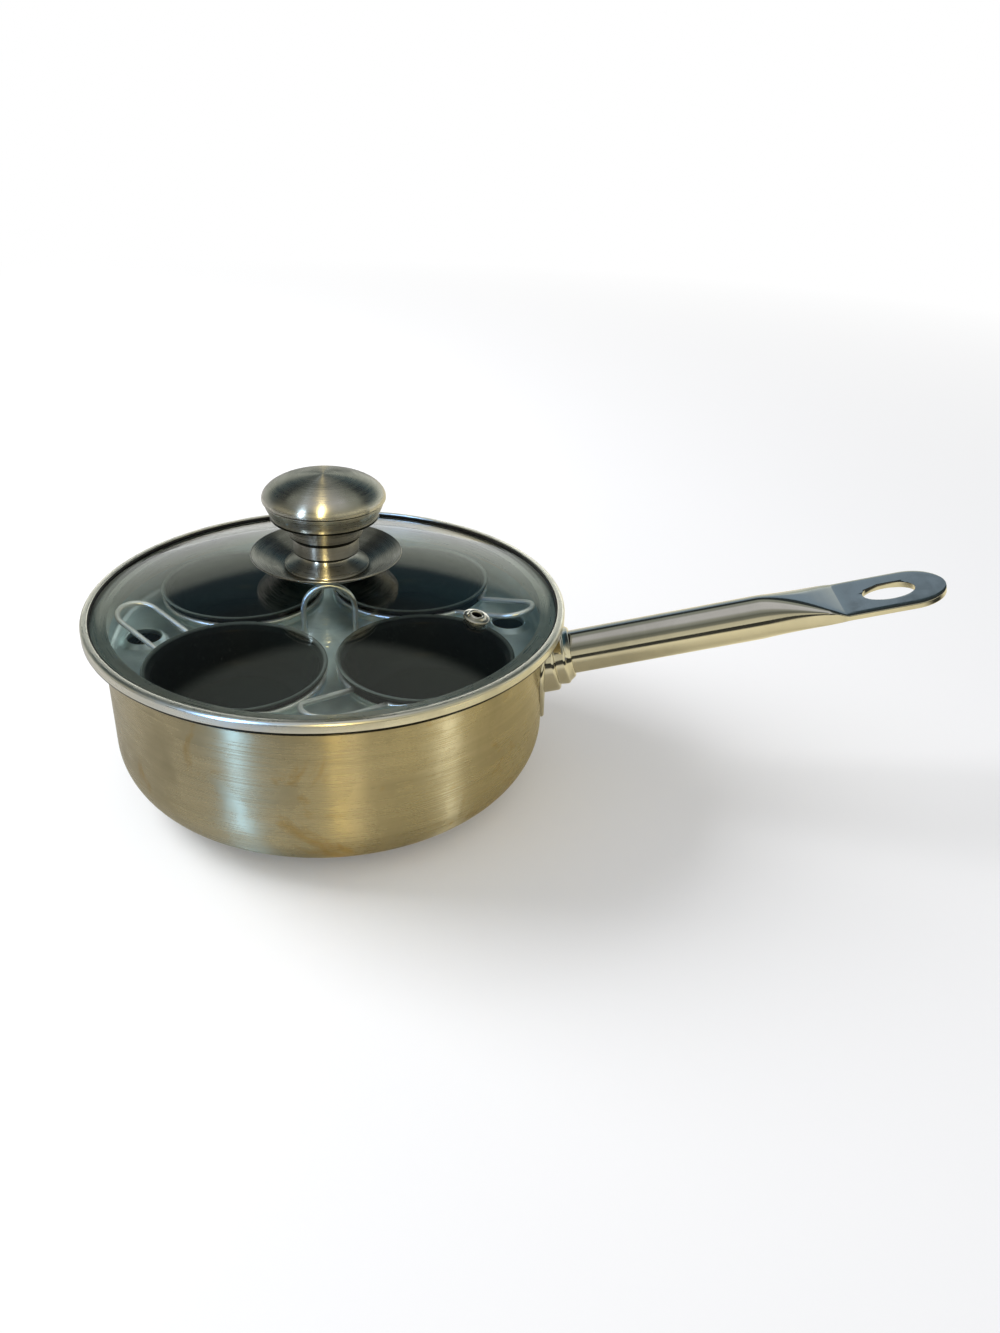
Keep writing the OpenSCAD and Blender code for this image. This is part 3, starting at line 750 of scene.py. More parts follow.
# %% Vent rivet
VENT_OUT = 68.5 * MM
VENT_TURN = math.radians(-22.5)
FLANGE_R = 5.4 * MM
VENT_HOLE = 1.7 * MM
NECK_R = 3.1 * MM
vent_lean = math.asin(VENT_OUT / dome_r)
vent_z = dome_z + dome_r * math.cos(vent_lean)
vent_place = (Matrix.Rotation(VENT_TURN, 4, "Z") @ Matrix.Translation((VENT_OUT, 0, vent_z))
    @ Matrix.Rotation(vent_lean, 4, "Y"))
vent_outline = (
    [(VENT_HOLE, -GLASS - 1.3 * MM), (NECK_R, -GLASS - 1.3 * MM), (NECK_R, 0)]
    + arc(FLANGE_R - 0.45 * MM, 0.45 * MM, 0.45 * MM, -80, 80, 6)
    + [(FLANGE_R - 1.4 * MM, 1.0 * MM)]
    + arc(VENT_HOLE + 1.1 * MM, 1.1 * MM, 0.8 * MM, 30, 180, 8)
)
vent_rivet = turned("vent_rivet", vent_outline, "lid", "vent_eyelet", vent_place, 64)
print("vent leans %.1f degrees" % math.degrees(vent_lean))

# %% [markdown]
# ## The knob
# The knob is pressed and spun from steel in five pieces: a saucer on the glass, a foot, a short
# stem, a flared underside and a domed crown. Small rounded steps between them catch the light.

# %% Knob saucer
plate_low, plate_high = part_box("knob_plate")
KNOB_SHEET = 0.7 * MM
FOOT_R = 17.5 * MM
saucer_r = plate_high.x
flat_r = FOOT_R + 0.6 * MM
SAUCER_H = plate_high.z - plate_low.z - KNOB_SHEET
slope = [(flat_r + (saucer_r - KNOB_SHEET / 2 - flat_r) * i / 16,
    plate_low.z + SAUCER_H * (i / 16) ** 1.25 * (1 - 0.02)) for i in range(17)]
lip_x, lip_z = slope[-1]
saucer_outline = (
    [(SCREW_HOLE, plate_low.z)] + slope[:-1]
    + arc(lip_x, plate_high.z - KNOB_SHEET / 2, KNOB_SHEET / 2, -50, 130, 8)
    + [(x, z + KNOB_SHEET) for x, z in reversed(slope[:-1])]
    + [(SCREW_HOLE, plate_low.z + KNOB_SHEET)]
)
knob_saucer = turned("knob_saucer", saucer_outline, "lid", "knob_plate", sharp=40)
print("saucer: %.1f mm across" % (2 * saucer_r / MM))

# %% [markdown]
# The foot, the stem and the underside are stacked, each with its lower edge rolled to a small
# radius. They share the screw's hole, so each outline starts and ends at the hole's radius.

# %% Knob foot, stem and underside
foot_low, foot_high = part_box("knob_foot")
stem_low, stem_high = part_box("knob_stem")
under_low, under_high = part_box("knob_under")
crown_low, crown_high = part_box("knob_cap")
waist_r = FOOT_R * 0.65
stem_r = FOOT_R * 0.77
foot_h = foot_high.z - foot_low.z
foot_out = FOOT_R - 0.3 * MM
foot_curve = [(foot_out - (foot_out - waist_r) * math.sin(math.pi / 2 * i / 16),
    foot_low.z + 1.6 * MM + (foot_h - 2.1 * MM) * i / 16) for i in range(17)]
knob_base = turned("knob_base", [(SCREW_HOLE, foot_low.z)]
    + arc(FOOT_R - 0.55 * MM, foot_low.z + 0.55 * MM, 0.55 * MM, -90, 80, 8)
    + foot_curve + [(waist_r, foot_high.z), (SCREW_HOLE, foot_high.z)], "lid", "knob_foot", sharp=40)
stem_mid = (stem_low.z + stem_high.z) / 2
knob_neck = turned("knob_neck", [(SCREW_HOLE, stem_low.z), (waist_r, stem_low.z)]
    + arc(stem_r - 0.5 * MM, stem_low.z + 0.6 * MM, 0.5 * MM, -80, 0, 5)
    + [(stem_r - 0.1 * MM, stem_mid)]
    + arc(stem_r - 0.4 * MM, stem_high.z - 0.5 * MM, 0.5 * MM, 0, 80, 5)
    + [(SCREW_HOLE, stem_high.z)], "lid", "knob_stem")
UNDER_R = under_high.x
neck_r = stem_r + 0.9 * MM
knob_belly = turned("knob_belly", [(SCREW_HOLE, under_low.z)]
    + arc(neck_r, under_low.z + 0.5 * MM, 0.5 * MM, -90, 30, 5)
    + [(neck_r + 0.7 * MM, under_low.z + 1.4 * MM)]
    + arc(neck_r + 8.5 * MM, under_low.z + 1.4 * MM, 7.6 * MM, 172, 115, 10)
    + arc(UNDER_R - 0.6 * MM, under_high.z - 0.6 * MM, 0.6 * MM, -45, 90, 6)
    + [(SCREW_HOLE, under_high.z)], "lid", "knob_under", sharp=40)
print("knob neck radius %.1f mm" % (stem_r / MM))

# %% [markdown]
# The crown is a dome of thin sheet. Below its widest place a fine step is tucked in, where it is
# pressed over the underside, and from there it narrows to the underside's edge.

# %% Knob crown
CROWN_SHEET = 1.2 * MM
crown_r = crown_high.x
crown_h = crown_high.z - crown_low.z
rise = crown_h * 0.42
widest = crown_low.z + rise
dome = crown_h - rise


def crown_line(inset):
    """The crown's section, from its lower edge to its top, `inset` from the outside."""
    tucked = UNDER_R - 0.5 * MM - inset
    lower = [(tucked + (crown_r - UNDER_R - 0.2 * MM) * math.sin(math.pi / 2 * i / 12),
        crown_low.z + rise * i / 12) for i in range(11)]
    lower += [(crown_r - 0.8 * MM - inset, widest - 0.7 * MM),
        (crown_r - 0.1 * MM - inset, widest - 0.55 * MM)]
    upper = [((crown_r - inset) * math.cos(math.pi / 2 * i / 32), widest + (dome - inset)
        * math.sin(math.pi / 2 * i / 32)) for i in range(33)]
    return lower + [(0, z) if r < 1e-6 else (r, z) for r, z in upper]


outside = crown_line(0)
outside[0:1] = arc(outside[0][0] - 0.4 * MM, crown_low.z + 0.4 * MM, 0.4 * MM, -90, 0, 4)
knob_crown = turned("knob_crown", outside + crown_line(CROWN_SHEET)[::-1], "lid", "knob_cap", sharp=40)
print("knob: %.1f mm across" % (2 * crown_r / MM))

# %% [markdown]
# ## Node groups
# Brushing, smudges and scratches show on more than one finish. Each is a node group with its own
# inputs, built once and placed in every material that needs it, which keeps their scale the same.

# %% Group helpers
def new_group(name, inputs, outputs):
    """An empty shader group with float or vector inputs and float outputs."""
    group = bpy.data.node_groups.new(name, "ShaderNodeTree")
    for label, value in inputs.items():
        kind = "NodeSocketFloat" if isinstance(value, (int, float)) else "NodeSocketVector"
        group.interface.new_socket(label, in_out="INPUT", socket_type=kind).default_value = value
    for label in outputs:
        group.interface.new_socket(label, in_out="OUTPUT", socket_type="NodeSocketFloat")
    return group, group.nodes.new("NodeGroupInput"), group.nodes.new("NodeGroupOutput")


def plug(tree, value, socket):
    """Links an output to a socket, or sets the socket to a plain value."""
    if isinstance(value, bpy.types.NodeSocket):
        tree.links.new(value, socket)
    else:
        socket.default_value = value


def math_node(tree, operation, a, b=0.0, c=0.0, clamp=False):
    """One step of arithmetic on values or outputs."""
    node = tree.nodes.new("ShaderNodeMath")
    node.operation = operation
    node.use_clamp = clamp
    for socket, value in zip(node.inputs, (a, b, c)):
        plug(tree, value, socket)
    return node.outputs[0]


def times(tree, a, b):
    return math_node(tree, "MULTIPLY", a, b)


def vector_node(tree, operation, a, b=(0.0, 0.0, 0.0)):
    """One step of arithmetic on vectors, which gives a vector, a length or a product."""
    node = tree.nodes.new("ShaderNodeVectorMath")
    node.operation = operation
    plug(tree, a, node.inputs[0])
    plug(tree, b, node.inputs[1])
    return node.outputs["Value" if operation in ("LENGTH", "DOT_PRODUCT") else "Vector"]


print("group helpers ready")

# %% [markdown]
# Every pattern below is made of the same few steps: where the point is, a noise there, and a
# part of that noise's range picked out. These have helpers too, so a material reads as a recipe.

# %% Pattern helpers
def split_xyz(tree, vector):
    """The X, Y and Z outputs of a vector."""
    node = tree.nodes.new("ShaderNodeSeparateXYZ")
    tree.links.new(vector, node.inputs[0])
    return node.outputs


def object_point(tree):
    """The shaded point in the piece's own axes, so that the pattern moves with the piece."""
    return tree.nodes.new("ShaderNodeTexCoord").outputs["Object"]


def noise(tree, vector, scale, detail=2.0, roughness=0.5, distortion=0.0):
    node = tree.nodes.new("ShaderNodeTexNoise")
    plug(tree, vector, node.inputs["Vector"])
    plug(tree, scale, node.inputs["Scale"])
    node.inputs["Detail"].default_value = detail
    node.inputs["Roughness"].default_value = roughness
    node.inputs["Distortion"].default_value = distortion
    return node.outputs["Fac"]


def remap(tree, value, low, high, to_low=0.0, to_high=1.0):
    """Spreads the range from low to high over another, and stops at its ends."""
    node = tree.nodes.new("ShaderNodeMapRange")
    for socket, number in zip(node.inputs, (value, low, high, to_low, to_high)):
        plug(tree, number, socket)
    return node.outputs[0]


print("pattern helpers ready")

# %% [markdown]
# Brushing on a turned piece runs round its axis. The group splits a point into its bearing, which
# changes slowly along a line, and the distance along the section, radius plus height, which
# changes fast across the lines. Fine and coarse lines come from one noise at two scales.

# %% Turned brushing
brushing, given, gives = new_group("Turned brushing",
    {"Centre": (0.0, 0.0, 0.0), "Lines": 1500.0, "Sweep": 1.2}, ["Fine", "Coarse"])
moved = vector_node(brushing, "SUBTRACT", object_point(brushing), given.outputs["Centre"])
flat = vector_node(brushing, "MULTIPLY", moved, (1.0, 1.0, 0.0))
bearing = vector_node(brushing, "NORMALIZE", flat)
height = vector_node(brushing, "DOT_PRODUCT", moved, (0.0, 0.0, 1.0))
section_way = math_node(brushing, "ADD", vector_node(brushing, "LENGTH", flat), height)
for label, share, detail in (("Fine", 1.0, 2.0), ("Coarse", 0.13, 3.0)):
    swept = vector_node(brushing, "SCALE", bearing)
    plug(brushing, given.outputs["Sweep"], swept.node.inputs["Scale"])
    lines = times(brushing, times(brushing, section_way, given.outputs["Lines"]), share)
    up = brushing.nodes.new("ShaderNodeCombineXYZ")
    plug(brushing, lines, up.inputs["Z"])
    spot = vector_node(brushing, "ADD", swept, up.outputs[0])
    plug(brushing, noise(brushing, spot, 1.0, detail, 0.6), gives.inputs[label])
print("group:", brushing.name)

# %% [markdown]
# Smudges are the soft patches that fingers and dried water leave. Spots are the small rings that
# drops leave behind. Hairlines are thin scratches: the places where a stretched noise crosses
# its middle value form long thin curves.

# %% Handling marks
marks, given, gives = new_group("Handling marks",
    {"Scale": 60.0}, ["Smudges", "Spots", "Hairlines"])
at = object_point(marks)
size = given.outputs["Scale"]
cloud = noise(marks, at, size, 4.0, 0.55, 0.4)
plug(marks, remap(marks, cloud, 0.45, 0.68), gives.inputs["Smudges"])
cells = marks.nodes.new("ShaderNodeTexVoronoi")
plug(marks, at, cells.inputs["Vector"])
plug(marks, times(marks, size, 4.0), cells.inputs["Scale"])
off_ring = math_node(marks, "ABSOLUTE", math_node(marks, "SUBTRACT", cells.outputs["Distance"], 0.22))
chance = noise(marks, at, times(marks, size, 0.9))
spots = times(marks, remap(marks, off_ring, 0.05, 0.0), remap(marks, chance, 0.55, 0.65))
plug(marks, spots, gives.inputs["Spots"])
thin = noise(marks, at, times(marks, size, 1.7), 3.0, 0.6, 1.5)
off_line = math_node(marks, "ABSOLUTE", math_node(marks, "SUBTRACT", thin, 0.5))
hairlines = times(marks, remap(marks, off_line, 0.006, 0.0), remap(marks, chance, 0.48, 0.6))
plug(marks, hairlines, gives.inputs["Hairlines"])
print("group:", marks.name)

# %% [markdown]
# ## Metals
# Every metal here is one recipe with its own values: two tints that the brushing mixes, darker
# smudges, a roughness that follows them, and a bump so slight that only highlights show it.
# Brushed metal stretches its highlights across the lines. The shader's anisotropy does that, and
# the tangent that runs round the upright axis says which way the lines go.

# %% Material helpers
def group_in(tree, group, **values):
    """Places a node group in a tree, with its inputs set."""
    node = tree.nodes.new("ShaderNodeGroup")
    node.node_tree = group
    for label, value in values.items():
        plug(tree, value, node.inputs[label])
    return node


def mix_colour(tree, factor, a, b):
    """Colour a where the factor is 0 and colour b where it is 1."""
    node = tree.nodes.new("ShaderNodeMix")
    node.data_type = "RGBA"
    plug(tree, factor, node.inputs[0])
    for socket, colour in ((node.inputs[6], a), (node.inputs[7], b)):
        plug(tree, colour if isinstance(colour, bpy.types.NodeSocket) else (*colour, 1.0), socket)
    return node.outputs[2]


def empty_material(name):
    """A material with only a Principled shader and its output."""
    material = bpy.data.materials.new(name)
    material.use_nodes = True
    tree = material.node_tree
    return material, tree, tree.nodes["Principled BSDF"]


def bump_from(tree, shader, height, strength, distance):
    """Bends the shader's normal by a height."""
    bump = tree.nodes.new("ShaderNodeBump")
    bump.inputs["Strength"].default_value = strength
    bump.inputs["Distance"].default_value = distance
    tree.links.new(height, bump.inputs["Height"])
    tree.links.new(bump.outputs[0], shader.inputs["Normal"])


print("material helpers ready")

# %% [markdown]
# Where two pieces meet, the real pan has gaps finer than the frame's clearances, where no light
# gets in, and their shade is painted: a shade line is a range of heights, outside a radius, on faces
# that look sideways. The vent's hole gets painted shade the same way, inside a radius of its axis.
# Heat and hard water leave golden stains on the pan, which come from a wide noise.

# %% Stains and painted shade
FADE = 0.1 * MM
IN_SHADE = (0.010, 0.010, 0.008)
GOLDEN = (0.44, 0.29, 0.09)


def stained(tree, tint, at, gold):
    """Golden stains over a tint, as strong as `gold`."""
    patch = remap(tree, noise(tree, at, 34.0, 4.0, 0.65, 0.6), 0.56, 0.66)
    return mix_colour(tree, times(tree, patch, gold), tint, GOLDEN)


def shaded(tree, tint, at, shade_lines):
    """Painted shade lines over a tint. Each line is its lowest and highest place and its least radius."""
    high = split_xyz(tree, at)["Z"]
    out = vector_node(tree, "LENGTH", vector_node(tree, "MULTIPLY", at, (1.0, 1.0, 0.0)))
    normal = tree.nodes.new("ShaderNodeNewGeometry").outputs["Normal"]
    sideways = remap(tree, split_xyz(tree, normal)["Z"], 0.8, 0.6)
    for low_z, high_z, from_r in shade_lines:
        dark = times(tree, remap(tree, out, from_r - FADE, from_r), sideways)
        dark = times(tree, dark, remap(tree, high, low_z - FADE, low_z))
        dark = times(tree, dark, remap(tree, high, high_z + FADE, high_z))
        tint = mix_colour(tree, dark, tint, IN_SHADE)
    return tint


def hole_shade(tree, tint, at, middle, axis, radius):
    """Painted shade inside a hole over a tint, round an axis through `middle`."""
    away = vector_node(tree, "SUBTRACT", at, tuple(middle))
    away = vector_node(tree, "LENGTH", vector_node(tree, "CROSS_PRODUCT", away, tuple(axis)))
    return mix_colour(tree, remap(tree, away, radius + FADE, radius), tint, IN_SHADE)


print("stains fade over %.1f mm" % (FADE / MM))

# %% [markdown]
# The recipe itself puts these on each other in the order in which they come on the real pan:
# the brushed metal first, then smudges, drops and scratches, then the stains, and last the painted shade.

# %% Metal recipe
def metal(name, pale, deep, rough=(0.2, 0.35), lines=1500.0, sweep=1.2, stretch=0.0, relief=0.02,
        smudge=0.3, spots=0.2, scale=60.0, hairlines=0.1, shade_lines=(), hole=None, gold=0.0):
    """A turned metal. `stretch` draws its highlights out across the brushing."""
    material, tree, shader = empty_material(name)
    brush = group_in(tree, brushing, Lines=lines, Sweep=sweep)
    worn = group_in(tree, marks, Scale=scale)
    tint = mix_colour(tree, remap(tree, brush.outputs["Coarse"], 0.3, 0.7), deep, pale)
    stain = times(tree, worn.outputs["Smudges"], smudge)
    tint = mix_colour(tree, stain, tint, [c * 0.62 for c in deep])
    ring = times(tree, worn.outputs["Spots"], spots)
    tint = mix_colour(tree, ring, tint, [min(c * 1.15, 1) for c in pale])
    scratch = times(tree, worn.outputs["Hairlines"], hairlines)
    tint = mix_colour(tree, scratch, tint, [c * 0.45 for c in deep])
    at = object_point(tree)
    if gold:
        tint = stained(tree, tint, at, gold)
    # Painted shade lines, and painted shade in a hole, go on last.
    if shade_lines:
        tint = shaded(tree, tint, at, shade_lines)
    if hole:
        tint = hole_shade(tree, tint, at, *hole)
    tree.links.new(tint, shader.inputs["Base Color"])
    shader.inputs["Metallic"].default_value = 1.0
    base = remap(tree, brush.outputs["Fine"], 0.3, 0.7, rough[0], rough[1])
    plug(tree, math_node(tree, "MULTIPLY_ADD", stain, 0.35, base, clamp=True), shader.inputs["Roughness"])
    if stretch:
        shader.inputs["Anisotropic"].default_value = stretch
        shader.inputs["Anisotropic Rotation"].default_value = 0.25
        round_axis = tree.nodes.new("ShaderNodeTangent")
        round_axis.direction_type = "RADIAL"
        round_axis.axis = "Z"
        tree.links.new(round_axis.outputs[0], shader.inputs["Tangent"])
    bump_from(tree, shader, brush.outputs["Fine"], 0.35, relief * MM)
    return material


def finish(material, slot, *pieces):
    """Gives pieces their only material. The name in `slot` is not used."""
    for piece in pieces:
        piece.data.materials.clear()
        piece.data.materials.append(material)


print("metal recipe ready")

# %% [markdown]
# The pan is brushed round its wall, and old enough for its steel to look warm. The knob and its
# saucer are spun, with finer lines. All are far rougher along the lines than across them, which
# is what turns a lamp into a tall streak. The knob's lower pieces lie in the crown's shade, which
# is painted into their steel as darker tints and as dark lines in their grooves.

# %% Pan and knob steel
# The pan's two shade lines are painted shade: under the band at the rim's edge, and in the seam at the base
# cap's edge.
pan_steel = metal("Brushed pan steel", (0.54, 0.465, 0.29), (0.47, 0.405, 0.25), (0.22, 0.30),
    lines=2600, sweep=1.6, stretch=0.95, smudge=0.25, spots=0.3, scale=45, hairlines=0.25, gold=0.6,
    shade_lines=[(rim_z - 0.45 * MM, rim_z + MM, rim_r - MM),
        (cap_high.z - 0.1 * MM, cap_high.z + 0.35 * MM, base_r - 4 * MM)])
SPUN = {"lines": 2600, "sweep": 0.8, "stretch": 0.9, "smudge": 0.2, "scale": 110}
# The crown's shade line is painted shade just below its widest ring, where the step tucks in.
knob_steel = metal("Spun knob steel", (0.68, 0.66, 0.60), (0.52, 0.51, 0.46), (0.22, 0.34),
    spots=0.15, shade_lines=[(widest - 1.2 * MM, widest - 0.65 * MM, 0.0)], **SPUN)
saucer_steel = metal("Spun saucer steel", (0.50, 0.49, 0.46), (0.36, 0.35, 0.33), (0.2, 0.32),
    spots=0.15, **SPUN)
# Painted shade: darker tints than the crown's steel, and shade lines under the crown and between the belly,
# stem and foot.
shaded_steel = metal("Spun knob steel in the crown's shade", (0.58, 0.57, 0.53), (0.42, 0.41, 0.38),
    (0.24, 0.34), **SPUN, shade_lines=[
        (under_high.z - 1.3 * MM, under_high.z + MM, 0.0),
        (under_low.z - MM, under_low.z + 0.7 * MM, 0.0),
        (stem_low.z - MM, stem_low.z + 0.7 * MM, 0.0),
        (foot_high.z - 0.6 * MM, foot_high.z, 0.0)])
finish(pan_steel, "brushed_steel", pan_wall, base_dish)
finish(saucer_steel, "brushed_steel", knob_saucer)
finish(knob_steel, "brushed_steel", knob_crown)
finish(shaded_steel, "brushed_steel", knob_base, knob_neck, knob_belly)
print("brushed:", pan_steel.name, "and", knob_steel.name)

# %% [markdown]
# The handle is polished nearly to a mirror, and so has little brushing left. The band and the
# vent's rivet are a little rougher. The wires are bright but soft, and the tray is satin.

# %% Polished steel
handle_steel = metal("Polished handle steel", (0.70, 0.68, 0.61), (0.62, 0.60, 0.53), (0.05, 0.10),
    lines=300, sweep=0.5, relief=0.004, smudge=0.18, spots=0.1, scale=70, hairlines=0.15)
# The band's shade line is painted shade at its foot, where it sits over the pan's rim.
band_steel = metal("Rolled band steel", (0.84, 0.82, 0.72), (0.70, 0.68, 0.59), (0.24, 0.34),
    lines=2200, sweep=0.7, stretch=0.5, smudge=0.25, spots=0.15, scale=90, hairlines=0.2,
    shade_lines=[(band_z - 0.2 * MM, band_z + 0.8 * MM, lid_r - MM)])
wire_steel = metal("Bright wire", (0.95, 0.95, 0.92), (0.86, 0.87, 0.84), (0.30, 0.38),
    lines=150, sweep=0.3, relief=0.0, smudge=0.1, spots=0.05, scale=120)
# The tray's shade line is painted shade at its rim, in the gap under the lid's band.
tray_steel = metal("Satin tray steel", (0.74, 0.84, 0.84), (0.62, 0.72, 0.73), (0.34, 0.46),
    lines=500, sweep=3.0, relief=0.01, smudge=0.25, spots=0.35, scale=80, hairlines=0.15,
    shade_lines=[(rim_z - 0.2 * MM, rim_z + MM, tray_rim_r - 0.5 * MM)])
# The rivet's hole gets painted shade inside.
vent_steel = metal("Vent rivet steel", (0.70, 0.68, 0.62), (0.46, 0.45, 0.41), (0.12, 0.22),
    lines=900, smudge=0.3, scale=300, hole=(vent_place.translation,
        vent_place.to_3x3() @ Vector((0, 0, 1)), VENT_HOLE + 0.25 * MM))
finish(handle_steel, "polished_steel", handle_shell, handle_collar)
finish(band_steel, "polished_steel", lid_rim)
finish(vent_steel, "polished_steel", vent_rivet)
finish(wire_steel, "wire", tray_arch, *cup_rings)
finish(tray_steel, "tray_steel", tray_sheet)
print("polished:", handle_steel.name, "and", band_steel.name)

# %% [markdown]
# ## The non-stick coat
# The coat is a dark, satin paint, baked on. It has a very fine speckle, and use leaves pale
# hairlines. A lighter line at the rim's edge is partly wear and partly a painted highlight. Its faint
# rings turn about the cup's own axis, so each cup has its own copy of the material, with its own centre.

# %% Non-stick coat
def non_stick(name, centre):
    """The coat of the cup that stands round `centre`."""
    material, tree, shader = empty_material(name)
    brush = group_in(tree, brushing, Centre=centre, Lines=1100.0, Sweep=0.6)
    worn = group_in(tree, marks, Scale=120.0)
    at = object_point(tree)
    grain = noise(tree, at, 4000.0, 1.0)
    tint = mix_colour(tree, remap(tree, brush.outputs["Coarse"], 0.3, 0.7),
        (0.002, 0.005, 0.005), (0.004, 0.008, 0.008))
    smudges = times(tree, worn.outputs["Smudges"], 0.3)
    tint = mix_colour(tree, smudges, tint, (0.008, 0.013, 0.013))
    # The lighter line at the rim's edge is partly worn coat and partly a painted highlight.
    rim_wear_and_highlight = remap(tree, split_xyz(tree, at)["Z"], cup_top - 0.9 * MM, cup_top - 0.3 * MM)
    patchy = remap(tree, brush.outputs["Coarse"], 0.2, 0.8, 0.3, 1.0)
    tint = mix_colour(tree, times(tree, rim_wear_and_highlight, patchy), tint, (0.20, 0.24, 0.23))
    hairlines = times(tree, worn.outputs["Hairlines"], 0.35)
    tint = mix_colour(tree, hairlines, tint, (0.12, 0.12, 0.11))
    tree.links.new(tint, shader.inputs["Base Color"])
    shader.inputs["Specular IOR Level"].default_value = 0.08
    rough = remap(tree, grain, 0.3, 0.7, 0.28, 0.40)
    rough = math_node(tree, "MULTIPLY_ADD", worn.outputs["Smudges"], 0.12, rough)
    tree.links.new(rough, shader.inputs["Roughness"])
    bump_from(tree, shader, grain, 0.3, 0.005 * MM)
    return material


for number, (dish, c) in enumerate(zip(cup_dishes, cups_at), 1):
    finish(non_stick("Non-stick coat %d" % number, (c.x, c.y, 0.0)), "non_stick", dish)
print("non-stick cups:", len(cup_dishes))

# %% [markdown]
# ## Glass and seal
# The lid's glass is clear with a faint green tint and a few dried drops, which only change its
# roughness. Light has to reach the cups through it, so it lets shadow rays pass: its Alpha drops
# for them alone.

# %% Glass
glass, tree, shader = empty_material("Lid glass")
worn = group_in(tree, marks, Scale=70.0)
smudges = times(tree, worn.outputs["Smudges"], 0.5)
tint = mix_colour(tree, smudges, (0.95, 0.985, 0.97), (0.91, 0.95, 0.935))
tree.links.new(tint, shader.inputs["Base Color"])
shader.inputs["Transmission Weight"].default_value = 1.0
shader.inputs["IOR"].default_value = 1.5
haze = times(tree, worn.outputs["Spots"], 0.10)
haze = math_node(tree, "MULTIPLY_ADD", worn.outputs["Smudges"], 0.015, haze)
tree.links.new(haze, shader.inputs["Roughness"])
rays = tree.nodes.new("ShaderNodeLightPath")
SHADOW_CLEAR = 0.88
clear = math_node(tree, "MULTIPLY_ADD", rays.outputs["Is Shadow Ray"], -SHADOW_CLEAR, 1.0)
tree.links.new(clear, shader.inputs["Alpha"])
finish(glass, "glass", lid_dome)
print("glass with", len(tree.nodes), "nodes")

# %% [markdown]
# The seal is soft black rubber with a little dust. The screw, the nut, the washers, the gaskets
# and the base's core hardly show. They keep the frame's shape, and only get a finish.

# %% Rubber and hidden metals
rubber, tree, shader = empty_material("Black rubber")
worn = group_in(tree, marks, Scale=250.0)
dust = times(tree, worn.outputs["Smudges"], 0.5)
tint = mix_colour(tree, dust, (0.012, 0.012, 0.012), (0.05, 0.05, 0.047))
tree.links.new(tint, shader.inputs["Base Color"])
tree.links.new(remap(tree, worn.outputs["Smudges"], 0.0, 1.0, 0.5, 0.75), shader.inputs["Roughness"])
finish(rubber, "seal", lid_bead)
plain_steel = metal("Plain fastener steel", (0.62, 0.62, 0.60), (0.5, 0.5, 0.48), (0.2, 0.35),
    lines=1800, scale=200)
core_metal = metal("Cast aluminium", (0.72, 0.72, 0.71), (0.6, 0.6, 0.6), (0.4, 0.55),
    lines=400, scale=120)
cad_finish = {"gasket_upper": rubber, "gasket_lower": rubber, "vent_washer": plain_steel,
    "knob_nut": plain_steel, "knob_screw": plain_steel, "knob_washer": plain_steel,
    "base_core": core_metal}
for node, material in cad_finish.items():
    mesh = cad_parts[node].data
    mesh.materials.clear()
    mesh.materials.append(material)
print("frame nodes with a new finish:", len(cad_finish))

# %% [markdown]
# ## Floor
# The floor is plain and pale. For the camera it glows a little, ever more with distance, so that
# it meets the white backdrop without a line, and it still takes the shadow of the pan.
# Steel would mirror so pale a floor as white. In the photograph it mirrors a warmer, dimmer
# table, so mirrored rays see that: grey to yellow from left to right, and dark away from the pan.

# %% Floor
bm = bmesh.new()
REACH = 6.0
corners = [bm.verts.new((x * REACH, y * REACH, 0)) for x, y in ((-1, -1), (1, -1), (1, 1), (-1, 1))]
bm.faces.new(corners)
floor = add_object("floor", mesh_from("floor", bm))
pale, tree, shader = empty_material("Pale floor")
grain = noise(tree, object_point(tree), 3.0)
pale_tint = mix_colour(tree, grain, (0.79, 0.795, 0.815), (0.81, 0.815, 0.835))
shader.inputs["Roughness"].default_value = 0.9
shader.inputs["Specular IOR Level"].default_value = 0.0
rays = tree.nodes.new("ShaderNodeLightPath")
spot = tree.nodes.new("ShaderNodeNewGeometry").outputs["Position"]
away = vector_node(tree, "LENGTH", spot)
spot = split_xyz(tree, spot)
far = remap(tree, away, 0.45, 1.3)
shown = math_node(tree, "MAXIMUM", rays.outputs["Is Camera Ray"], rays.outputs["Is Transmission Ray"])
floor_tint = mix_colour(tree, times(tree, far, shown), pale_tint, (0.0, 0.0, 0.0))
warm = remap(tree, spot["X"], -0.05, 0.20)
mirrored = mix_colour(tree, warm, (0.46, 0.45, 0.43), (1.0, 0.90, 0.60))
gloom = times(tree, remap(tree, away, 0.45, 0.60), remap(tree, spot["Y"], 0.15, 0.0))
gloom = math_node(tree, "MAXIMUM", gloom, remap(tree, spot["Y"], -0.22, -0.34))
mirrored = mix_colour(tree, gloom, mirrored, (0.06, 0.06, 0.05))
floor_tint = mix_colour(tree, rays.outputs["Is Glossy Ray"], floor_tint, mirrored)
tree.links.new(floor_tint, shader.inputs["Base Color"])
shader.inputs["Emission Color"].default_value = (1.0, 1.0, 1.0, 1.0)
glow = remap(tree, far, 0.0, 1.0, 0.13, 1.0)
plug(tree, times(tree, shown, glow), shader.inputs["Emission Strength"])
floor.data.materials.append(pale)
print("floor", 2 * REACH, "m wide")

# %% [markdown]
# ## Studio
# Polished steel shows whatever stands round it. A bare white room would make it flat, so what
# steel mirrors has a white backdrop behind the pan, and a dimmer wall and ceiling on the viewer's
# side. Each is a ramp of tints from the horizon up, and two more helpers build the skies.

